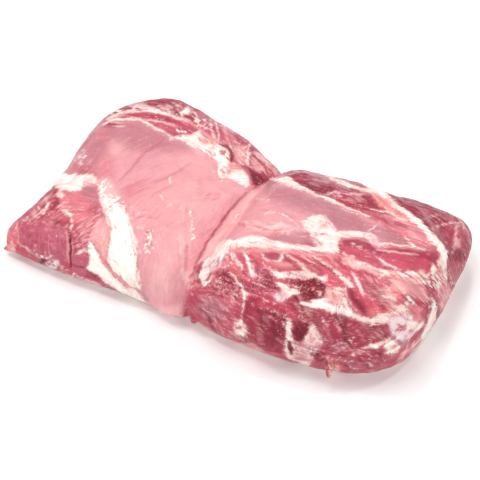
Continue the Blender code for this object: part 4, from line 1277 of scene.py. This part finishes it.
@dataclass
class TissuePaint:
    """Paints tissue on the points of a mesh, as the photo shows it.

    view: The photo's camera. hidden: Paint of the sides that it doesn't show. wobble: How far
    mark edges wander, in pixels, with grains of wobble_size metres. wobble_shift: Sets one
    wobble apart from the next. turned: The range of facing over which the photo's paint gives
    way to the hidden sides' own.
    """

    view: PhotoView
    hidden: HiddenSides = HiddenSides()
    wobble: tuple[float, float] = (1.1, 0.6)
    wobble_size: tuple[float, float] = (0.007, 0.0025)
    wobble_shift: float = 7.3
    turned: tuple[float, float] = (-0.35, -0.05)

    def paint(self, places: np.ndarray, normals: np.ndarray) -> np.ndarray:
        """Paint every tissue layer.

        Args:
            places: The mesh's points in metres.
            normals: The normal at each point.

        Returns:
            One row of layers for each point, in Layer's order.
        """
        pixels = np.ascontiguousarray(self.wandered_pixels(places).T)
        shown = np.zeros((len(places), len(Layer)))
        for marks in REGIONS.values():
            for seed, mark in enumerate(marks.values()):
                strokes = fleck_marks(mark, seed) if isinstance(mark, Flecks) else [mark]
                for stroke in strokes:
                    self.lay(shown, pixels, stroke)
        low, high = self.turned
        share = soft_step((self.view.facing(places, normals) - low) / (high - low))
        return blend(self.hidden.layers(places, normals), shown, share[:, None])

    def wandered_pixels(self, places: np.ndarray) -> np.ndarray:
        """Find the photo pixels of places, pushed about so that no edge is ruled.

        Args:
            places: The mesh's points in metres.

        Returns:
            Photo pixels, one pair a row.
        """
        pixels = self.view.project(places)
        for step, (reach, size) in enumerate(zip(self.wobble, self.wobble_size)):
            for axis in (0, 1):
                shift = self.wobble_shift * (2 * step + axis + 1)
                pixels[:, axis] += reach * noise_at(places, size, shift)
        return pixels

    def lay(self, layers: np.ndarray, pixels: np.ndarray, mark: Mark) -> None:
        """Lay one mark over the layers.

        Args:
            layers: The layers so far, changed in place.
            pixels: The points' photo pixels, as a row across and a row down.
            mark: The mark to lay.
        """
        path = read_path(mark.path)
        margin = mark.width + mark.soft * mark.tissue.value.feather
        (left, top), (right, foot) = path.min(axis=0) - margin, path.max(axis=0) + margin
        across, down = pixels
        near = np.flatnonzero((across > left) & (across < right) & (down > top) & (down < foot))
        if not len(near):
            return
        cover = mark_cover(mark, pixels[:, near].T)[:, None]
        raised = cover[:, 0] * (mark.tissue.value.rise + mark.rise)
        height = layers[near, Layer.RISE.value] + raised
        layers[near] = blend(layers[near], tissue_layers(mark.tissue), cover)
        layers[near, Layer.RISE.value] = height


@dataclass
class FibreGrain:
    """Streaks that run along the muscle fibres.

    view: The photo's camera. reach: How far a guide's direction holds, in pixels. fall: How
    steeply it falls off there. step: Length of one step along a fibre, in metres. steps: Steps
    each way. least_square: Least squareness to the camera that a fibre is laid with, so that
    it doesn't stretch on the sides. contrast: Strength of streaks. seed: Starts their noise.
    """

    view: PhotoView
    reach: float = 14.0
    fall: int = 4
    step: float = 0.0011
    steps: int = 7
    least_square: float = 0.3
    contrast: float = 0.22
    seed: int = 5

    def turns(self, pixels: np.ndarray) -> np.ndarray:
        """Blend the guides' directions in the photo.

        Args:
            pixels: Places in the photo, one a row.

        Returns:
            The fibres' angle at each place, in radians.
        """
        doubled = np.zeros((len(pixels), 2))
        for guide in FIBRE_GUIDES:
            path = read_path(guide)
            for start, end in zip(path, path[1:]):
                run = end - start
                angle = 2 * math.atan2(-run[1], run[0])
                gap, _ = nearest_on_path(pixels, np.array([start, end]))
                pull = 1 / (1 + (gap / self.reach) ** self.fall)
                doubled += pull[:, None] * np.array([math.cos(angle), math.sin(angle)])
        return np.arctan2(doubled[:, 1], doubled[:, 0]) / 2

    def directions(self, places: np.ndarray, normals: np.ndarray) -> np.ndarray:
        """Find the direction of the fibres at each place, level with the surface.

        Args:
            places: The mesh's points in metres.
            normals: The normal at each point.

        Returns:
            A unit direction for each point.
        """
        turn = self.turns(self.view.project(places))
        right, up, back = self.view.axes()
        flat = np.cos(turn)[:, None] * right + np.sin(turn)[:, None] * up
        square = normals @ back
        least = np.copysign(self.least_square, square)
        square = np.where(np.abs(square) < self.least_square, least, square)
        lean_back = -np.sum(flat * normals, axis=1) / square
        along = flat + lean_back[:, None] * back
        along -= np.sum(along * normals, axis=1)[:, None] * normals
        return along / np.linalg.norm(along, axis=1)[:, None]

    def streaks(self, places: np.ndarray, normals: np.ndarray) -> np.ndarray:
        """Smear seeded noise along the fibres.

        Args:
            places: The mesh's points in metres.
            normals: The normal at each point.

        Returns:
            A value from 0 to 1 for each point, 0.5 on average.
        """
        tree = kdtree.KDTree(len(places))
        for i, place in enumerate(places):
            tree.insert(place, i)
        tree.balance()
        along = self.directions(places, normals)
        grit = np.random.default_rng(self.seed).standard_normal(len(places))
        total = grit.copy()
        for side in (-1, 1):
            ahead = places + side * self.step * along
            following = np.array([tree.find(place)[1] for place in ahead])
            reached = np.arange(len(places))
            for _ in range(self.steps):
                reached = following[reached]
                total += grit[reached]
        total = (total - total.mean()) / total.std()
        return np.clip(0.5 + self.contrast * total, 0, 1)


def add_node(tree: NodeTree, kind: str, links: Links | None = None, **settings: object) -> Paint:
    """Add a node with its settings, values and links.

    Args:
        tree: The material's node tree.
        kind: The node's type name.
        links: Input name or number to an output socket to link, or to a value to set.
        settings: The node's own properties.

    Returns:
        The new node's open outputs by name.
    """
    node = tree.nodes.new(kind)
    for name, value in settings.items():
        setattr(node, name, value)
    open_inputs = {socket.name: socket for socket in node.inputs if socket.enabled}
    for name, value in (links or {}).items():
        socket = open_inputs[name] if name in open_inputs else node.inputs[name]
        if isinstance(value, Socket):
            tree.links.new(value, socket)
        else:
            socket.default_value = value
    return {socket.name: socket for socket in node.outputs if socket.enabled}


@dataclass(frozen=True)
class Mask:
    """Where something shows: a weighted sum of paint and noise, put through a soft step.

    parts: The name and weight of each part. base: What the sum starts from. low and high:
    Where the step begins and ends. top: What it climbs to. within: Name of the paint that
    holds it back, if any.
    """

    parts: Parts
    base: float
    low: float
    high: float
    top: float = 1.0
    within: str = ""


@dataclass(frozen=True)
class RawPork:
    """Raw pork, cut with a knife: lean, fat and silver skin with a wet sheen.

    Lean is streaked along its fibres and flecked with fat. Fat is creamy and less glossy, with
    ragged edges. A thin wet coat gives the small bright glints of a fresh cut.

    noises: Name of each noise, size of its grains in millimetres, and how much finer noise it
    carries. The fine one stands for fibre bundles well under a millimetre, which are too fine
    to show, so it is drawn coarser. light: How light the painted lean is, and what changes it.
    masks: Where fat flecks, torn clotted grain, painted wet glints, silver skin and fat show, and
    where the fat is cream or salmon. blush: What warms the fat. relief: What stands out, up to
    relief_mm, and how much the coarser tissues add. glow: Light that passes through, and how
    far in metres. wet: The coat of moisture.
    """

    name: str = "raw_pork_cut"
    fat_white: str = "#FFFAF1"
    fat_cream: str = "#F9DAD3"
    fat_salmon: str = "#EE9D94"
    film: str = "#F8EBEC"
    # Pale fleck colour: the real flecks of fat in the lean, and also the painted wet glints on torn grain.
    fleck_and_glint: str = "#FADDD8"
    clot: str = "#7E1A30"
    noises: tuple[tuple[str, float, float], ...] = (
        ("mottle", 11.0, 2.0),
        ("fine", 1.2, 3.0),
        ("ragged", 3.2, 4.0),
        ("grit", 1.9, 2.0),
    )
    noise_roughness: float = 0.55
    light: float = 0.42
    light_parts: Parts = (("streak", 0.80), ("mottle", 0.36), ("held", 0.90))
    blush: float = -1.00
    blush_parts: Parts = (("warm", 1.0), ("mottle", 1.0), ("ragged", 1.6), ("streak", -0.6))
    masks: tuple[tuple[str, Mask], ...] = (
        ("flecked", Mask(
            (("streak", 0.4), ("fine", 0.8), ("marble", 0.30)), 0.0, 0.70, 0.84, 0.85, "marble"
        )),
        ("torn", Mask((("grit", 1.0),), 0.0, 0.44, 0.60, 1.0, "crumb")),
        # Painted wet glints: pale dots where the fine noise peaks on torn grain.
        ("painted_glint", Mask((("fine", 1.0),), 0.0, 0.58, 0.68, 0.65, "crumb")),
        ("filmed", Mask(
            (("film", 1.0), ("streak", 0.6), ("ragged", 1.4), ("fine", 0.8)), -1.40, 0.25, 1.15, 0.85
        )),
        ("fatty", Mask(
            (("fat", 1.0), ("ragged", 1.4), ("fine", 0.9), ("streak", 1.0)), -1.65, 0.14, 0.90
        )),
        ("creamy", Mask((("blush", 1.0),), 0.0, 0.0, 0.5)),
        ("salmon", Mask((("blush", 1.0),), 0.0, 0.5, 1.0)),
    )
    relief_parts: Parts = (
        ("streak", 0.6), ("fine", 0.35), ("ragged", 0.5), ("fatty", 0.35), ("torn", -0.6)
    )
    relief_least: float = 0.4
    relief_grain: float = 1.1
    relief_strength: float = 0.8
    relief_mm: float = 0.9
    roughness: float = 0.36
    rough_parts: Parts = (("fatty", 0.10), ("fine", 0.12))
    meat_ior: float = 1.40
    specular: float = 0.22
    glow: float = 0.12
    glow_radius: tuple[float, float, float] = (1.0, 0.35, 0.25)
    glow_reach: float = 0.0025
    wet: float = 0.40
    wet_roughness: float = 0.09
    wet_ior: float = 1.34

    def build(self) -> bpy.types.Material:
        """Make the material.

        Returns:
            The finished material.
        """
        material = bpy.data.materials.new(self.name)
        material.use_nodes = True
        tree = material.node_tree
        tree.nodes.clear()
        paint = self.read_paint(tree)
        for name, mask in self.masks:
            paint[name] = self.shown(tree, paint, mask)
        normal = self.relief(tree, paint)
        looks = {
            "Base Color": self.colour(tree, paint),
            "Roughness": self.sums(tree, paint, self.rough_parts, self.roughness),
            "IOR": self.meat_ior,
            "Subsurface Weight": self.glow,
            "Subsurface Radius": self.glow_radius,
            "Subsurface Scale": self.glow_reach,
            "Coat Weight": self.wet,
            "Coat Roughness": self.wet_roughness,
            "Coat IOR": self.wet_ior,
            "Specular IOR Level": self.specular,
            "Normal": normal,
            "Coat Normal": normal,
        }
        shader = add_node(tree, "ShaderNodeBsdfPrincipled", looks)
        add_node(tree, "ShaderNodeOutputMaterial", {"Surface": shader["BSDF"]})
        return material

    def read_paint(self, tree: NodeTree) -> Paint:
        """Read the paint that the mesh keeps, and make the noises that break it up.

        Args:
            tree: The material's node tree.

        Returns:
            Each value's socket by name.
        """
        lean = add_node(tree, "ShaderNodeAttribute", attribute_name="lean_tone")
        paint = {"tone": lean["Color"], "coarse": lean["Alpha"]}
        for name, values in (
            ("coat", ("fat", "film", "marble")),
            ("fibre", ("streak", "warm", "crumb")),
        ):
            kept = add_node(tree, "ShaderNodeAttribute", attribute_name=name)["Vector"]
            apart = add_node(tree, "ShaderNodeSeparateXYZ", {"Vector": kept})
            paint.update(zip(values, apart.values()))
        place = add_node(tree, "ShaderNodeTexCoord")["Object"]
        for name, size_mm, detail in self.noises:
            links = {"Vector": place, "Scale": 1 / (size_mm * MM), "Detail": detail}
            links["Roughness"] = self.noise_roughness
            paint[name] = add_node(tree, "ShaderNodeTexNoise", links)["Fac"]
        links = {0: paint["fine"], 1: 0.5}
        away = add_node(tree, "ShaderNodeMath", links, operation="SUBTRACT")["Value"]
        links = {0: away, 1: paint["coarse"]}
        paint["held"] = add_node(tree, "ShaderNodeMath", links, operation="MULTIPLY")["Value"]
        paint["blush"] = self.sums(tree, paint, self.blush_parts, self.blush)
        return paint

    def sums(self, tree: NodeTree, paint: Paint, parts: Parts, base: float) -> Socket:
        """Add weighted paint to a number.

        Args:
            tree: The material's node tree.
            paint: Each value's socket by name.
            parts: Pairs of a value's name and its weight.
            base: The number to start from.

        Returns:
            The sum.
        """
        total = base
        for name, weight in parts:
            links = {0: paint[name], 1: weight, 2: total}
            total = add_node(tree, "ShaderNodeMath", links, operation="MULTIPLY_ADD")["Value"]
        return total

    def shown(self, tree: NodeTree, paint: Paint, mask: Mask) -> Socket:
        """Work out where something shows.

        Args:
            tree: The material's node tree.
            paint: Each value's socket by name.
            mask: How it follows from them.

        Returns:
            Its cover, from 0 to the mask's top.
        """
        total = self.sums(tree, paint, mask.parts, mask.base)
        links = {"Value": total, "From Min": mask.low, "From Max": mask.high}
        links.update({"To Min": 0.0, "To Max": mask.top})
        step = add_node(tree, "ShaderNodeMapRange", links, interpolation_type="SMOOTHSTEP")
        if not mask.within:
            return step["Result"]
        links = {0: step["Result"], 1: paint[mask.within]}
        return add_node(tree, "ShaderNodeMath", links, operation="MULTIPLY")["Value"]

    def colour(self, tree: NodeTree, paint: Paint) -> Socket:
        """Colour the lean along its fibres, and lay flecks, clots, painted glints, film and fat over it.

        Args:
            tree: The material's node tree.
            paint: Each value's socket by name.

        Returns:
            The finished colour.
        """
        links = {0: paint["tone"], "Scale": self.sums(tree, paint, self.light_parts, self.light)}
        lean = add_node(tree, "ShaderNodeVectorMath", links, operation="SCALE")["Vector"]
        warmed = [("creamy", self.fat_cream), ("salmon", self.fat_salmon)]
        fat = self.layered(tree, paint, self.fat_white, warmed)
        coats = [
            ("flecked", self.fleck_and_glint),
            ("torn", self.clot),
            # Painted wet glints, in the pale fleck colour.
            ("painted_glint", self.fleck_and_glint),
            ("filmed", self.film),
            ("fatty", fat),
        ]
        return self.layered(tree, paint, lean, coats)

    def layered(
        self,
        tree: NodeTree,
        paint: Paint,
        under: Socket | str,
        coats: list[tuple[str, Socket | str]],
    ) -> Socket:
        """Lay colours over one another, each a socket or a hex code.

        Args:
            tree: The material's node tree.
            paint: Each value's socket by name.
            under: The colour at the bottom.
            coats: Name of the mask that shows each further colour, and the colour.

        Returns:
            The colour with all its coats.
        """
        for name, over in coats:
            links = {"Factor": paint[name]}
            for side, colour in (("A", under), ("B", over)):
                links[side] = linear(colour) if isinstance(colour, str) else colour
            under = add_node(tree, "ShaderNodeMix", links, data_type="RGBA")["Result"]
        return under

    def relief(self, tree: NodeTree, paint: Paint) -> Socket:
        """Raise strands and fat a little, more so where the grain is coarse.

        Args:
            tree: The material's node tree.
            paint: Each value's socket by name.

        Returns:
            The bumped normal.
        """
        height = self.sums(tree, paint, self.relief_parts, 0.0)
        coarse = self.sums(tree, paint, (("coarse", self.relief_grain),), self.relief_least)
        links = {0: height, 1: coarse}
        raised = add_node(tree, "ShaderNodeMath", links, operation="MULTIPLY")["Value"]
        links = {"Height": raised, "Strength": self.relief_strength}
        links["Distance"] = self.relief_mm * MM
        return add_node(tree, "ShaderNodeBump", links)["Normal"]


@dataclass
class PorkLoin:
    """The whole cut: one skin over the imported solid.

    view: The photo's camera. finish: What it is made of. node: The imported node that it
    replaces. levels: Subdivision levels. rest_height: Height in metres under which the
    sculpting fades, so that it still lies flat. grain_mm: Depth of the fibre streaks.
    lump_mm and lump_size: Depth and size in metres of the small lumps. lump_least: Share of
    them that even smooth tissue has. merge: Metres within which points are one. flat_normal and
    floor_gap: How level and how low the underside's faces are. join_angle and join_shape:
    Limits in radians for joining triangles to quads.
    """

    view: PhotoView
    finish: RawPork
    node: str = "loin"
    levels: int = 2
    rest_height: float = 0.004
    grain_mm: float = 0.22
    lump_mm: float = 0.5
    lump_size: float = 0.005
    lump_shift: float = 31.0
    lump_least: float = 0.25
    merge: float = 1e-6
    flat_normal: float = -0.999
    floor_gap: float = 1e-5
    join_angle: float = 1.0
    join_shape: float = 1.6

    def build(self) -> bpy.types.Object:
        """Make, sculpt, paint and dress the loin.

        Returns:
            The finished piece.
        """
        piece = self.skin()
        places, normals = self.surface(piece)
        layers = TissuePaint(self.view).paint(places, normals)
        streaks = FibreGrain(self.view).streaks(places, normals)
        streaks = 0.5 + (streaks - 0.5) * layers[:, Layer.GRAIN.value]
        self.sculpt(piece, places, normals, layers, streaks)
        self.store(piece.data, layers, streaks)
        piece.data.materials.clear()
        piece.data.materials.append(self.finish.build())
        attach(piece, "root")
        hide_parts(self.node)
        return piece

    def skin(self) -> bpy.types.Object:
        """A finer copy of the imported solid's skin, in quads, with its flat underside closed.

        Returns:
            The new object, at the origin.
        """
        mesh = self.coarse_skin()
        piece = bpy.data.objects.new("pork_loin", mesh)
        bpy.context.scene.collection.objects.link(piece)
        finer = piece.modifiers.new("finer", "SUBSURF")
        finer.levels = finer.render_levels = self.levels
        bpy.context.view_layer.objects.active = piece
        bpy.ops.object.modifier_apply(modifier=finer.name)
        self.close_underside(mesh)
        mesh.shade_smooth()
        return piece

    def coarse_skin(self) -> bpy.types.Mesh:
        """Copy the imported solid's skin in quads, with its flat underside left open.

        Returns:
            The new mesh.
        """
        bm = bmesh.new()
        bm.from_mesh(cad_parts[self.node].data)
        bmesh.ops.remove_doubles(bm, verts=bm.verts, dist=self.merge)
        bm.normal_update()
        flat = [face for face in bm.faces if self.is_underside(face)]
        bmesh.ops.delete(bm, geom=flat, context="FACES")
        bmesh.ops.join_triangles(
            bm,
            faces=bm.faces,
            angle_face_threshold=self.join_angle,
            angle_shape_threshold=self.join_shape,
        )
        mesh = bpy.data.meshes.new("pork_loin")
        bm.to_mesh(mesh)
        bm.free()
        return mesh

    def is_underside(self, face: bmesh.types.BMFace) -> bool:
        """Whether a face is part of the flat underside."""
        return face.normal.z < self.flat_normal and face.calc_center_median().z < self.floor_gap

    def close_underside(self, mesh: bpy.types.Mesh) -> None:
        """Fill the opening that the flat underside leaves.

        Args:
            mesh: The loin's mesh, changed in place.
        """
        bm = bmesh.new()
        bm.from_mesh(mesh)
        rim = [edge for edge in bm.edges if edge.is_boundary]
        bmesh.ops.holes_fill(bm, edges=rim, sides=0)
        bmesh.ops.recalc_face_normals(bm, faces=bm.faces)
        bm.to_mesh(mesh)
        bm.free()

    def surface(self, piece: bpy.types.Object) -> tuple[np.ndarray, np.ndarray]:
        """Read the points and normals of a piece's mesh.

        Args:
            piece: The piece to read.

        Returns:
            Its points in metres and their normals, one a row.
        """
        count = len(piece.data.vertices)
        places, normals = np.zeros(count * 3), np.zeros(count * 3)
        piece.data.vertices.foreach_get("co", places)
        piece.data.vertex_normals.foreach_get("vector", normals)
        return places.reshape(-1, 3), normals.reshape(-1, 3)

    def sculpt(
        self,
        piece: bpy.types.Object,
        places: np.ndarray,
        normals: np.ndarray,
        layers: np.ndarray,
        streaks: np.ndarray,
    ) -> None:
        """Raise fat, sink seams and add fibre and lumps.

        Args:
            piece: The loin, changed in place.
            places: Its points in metres.
            normals: The normal at each point.
            layers: The paint layers of each point.
            streaks: The fibre streaks at each point.
        """
        lumps = self.lump_mm * noise_at(places, self.lump_size, self.lump_shift)
        amount = layers[:, Layer.RISE.value] + self.grain_mm * (streaks - 0.5) * 2
        amount += lumps * (self.lump_least + layers[:, Layer.GRAIN.value])
        amount *= soft_step(places[:, 2] / self.rest_height)
        moved = places + normals * (amount * MM)[:, None]
        piece.data.vertices.foreach_set("co", moved.ravel())
        piece.data.update()

    def store(self, mesh: bpy.types.Mesh, layers: np.ndarray, streaks: np.ndarray) -> None:
        """Keep the paint on the mesh, for the material to read.

        Args:
            mesh: The loin's mesh.
            layers: The paint layers of each point.
            streaks: The fibre streaks at each point.
        """
        tone = np.ones((len(layers), 4), np.float32)
        tone[:, :3] = layers[:, : Layer.FAT.value]
        tone[:, 3] = layers[:, Layer.GRAIN.value]
        colour = mesh.attributes.new("lean_tone", "FLOAT_COLOR", "POINT")
        colour.data.foreach_set("color", tone.ravel())
        coat = layers[:, [Layer.FAT.value, Layer.FILM.value, Layer.MARBLE.value]]
        warm_crumb = layers[:, [Layer.WARM.value, Layer.CRUMB.value]]
        fibre = np.column_stack([streaks, warm_crumb])
        for name, values in (("coat", coat), ("fibre", fibre)):
            attribute = mesh.attributes.new(name, "FLOAT_VECTOR", "POINT")
            attribute.data.foreach_set("vector", values.astype(np.float32).ravel())


@dataclass(frozen=True)
class Softbox:
    """One soft square light: its place, its side in metres, its power in watts and its tint.

    It points at the origin.
    """

    name: str
    place: tuple[float, float, float]
    side: float
    power: float
    tint: str = "#FFFFFF"

    def build(self) -> None:
        """Add the light to the scene."""
        lamp = bpy.data.lights.new(self.name, "AREA")
        lamp.shape = "SQUARE"
        lamp.size = self.side
        lamp.energy = self.power
        lamp.color = linear(self.tint)[:3]
        light = bpy.data.objects.new(self.name, lamp)
        light.location = self.place
        light.rotation_euler = Vector(self.place).to_track_quat("Z", "Y").to_euler()
        bpy.context.scene.collection.objects.link(light)


@dataclass(frozen=True)
class StudioPaper:
    """White backdrop paper, smooth but matt, so that it shows soft shadows and no glints."""

    name: str = "studio_paper"
    colour: str = "#FFFFFF"
    roughness: float = 0.9

    def build(self) -> bpy.types.Material:
        """Make the material.

        Returns:
            The finished material.
        """
        material = bpy.data.materials.new(self.name)
        material.use_nodes = True
        shader = material.node_tree.nodes["Principled BSDF"]
        shader.inputs["Base Color"].default_value = linear(self.colour)
        shader.inputs["Roughness"].default_value = self.roughness
        return material


@dataclass
class Studio:
    """A plain pale floor and soft studio light.

    floor_reach: Half the floor's side, in metres. sky: Strength of the even light all round.
    """

    paper: StudioPaper = StudioPaper()
    floor_reach: float = 6.0
    sky_colour: str = "#FFFFFF"
    sky: float = 0.42
    boxes: tuple[Softbox, ...] = (
        Softbox("key", (-0.5, 0.1, 1.5), 0.9, 9.4),
        Softbox("front_fill", (-0.3, -1.5, 0.9), 1.1, 6.6),
        Softbox("end_fill", (1.4, -0.5, 0.8), 1.1, 6.0),
        Softbox("back_glint", (-0.3, 0.9, 1.1), 0.15, 3.4),
        Softbox("right_glint", (0.5, 0.5, 1.2), 0.12, 2.8),
        Softbox("left_glint", (-0.8, -0.1, 1.0), 0.12, 2.2),
    )

    def build(self) -> None:
        """Add the floor, the lights and the sky."""
        self.lay_floor()
        for box in self.boxes:
            box.build()
        world = bpy.data.worlds.new("soft_sky")
        world.use_nodes = True
        sky = world.node_tree.nodes["Background"]
        sky.inputs["Color"].default_value = linear(self.sky_colour)
        sky.inputs["Strength"].default_value = self.sky
        bpy.context.scene.world = world
        bpy.context.scene.view_settings.view_transform = "Standard"

    def lay_floor(self) -> None:
        """Make the floor."""
        bm = bmesh.new()
        bmesh.ops.create_grid(bm, x_segments=1, y_segments=1, size=self.floor_reach)
        mesh = bpy.data.meshes.new("floor")
        bm.to_mesh(mesh)
        bm.free()
        floor = bpy.data.objects.new("floor", mesh)
        bpy.context.scene.collection.objects.link(floor)
        mesh.materials.append(self.paper.build())


def main() -> None:
    """Build the view, the studio and the loin."""
    logging.basicConfig(level=logging.INFO, format="%(message)s")
    view = PhotoView()
    view.place_camera()
    Studio().build()
    loin = PorkLoin(view, RawPork()).build()
    LOG.info("%s: %d points", loin.name, len(loin.data.vertices))


if __name__ == "__main__":
    main()
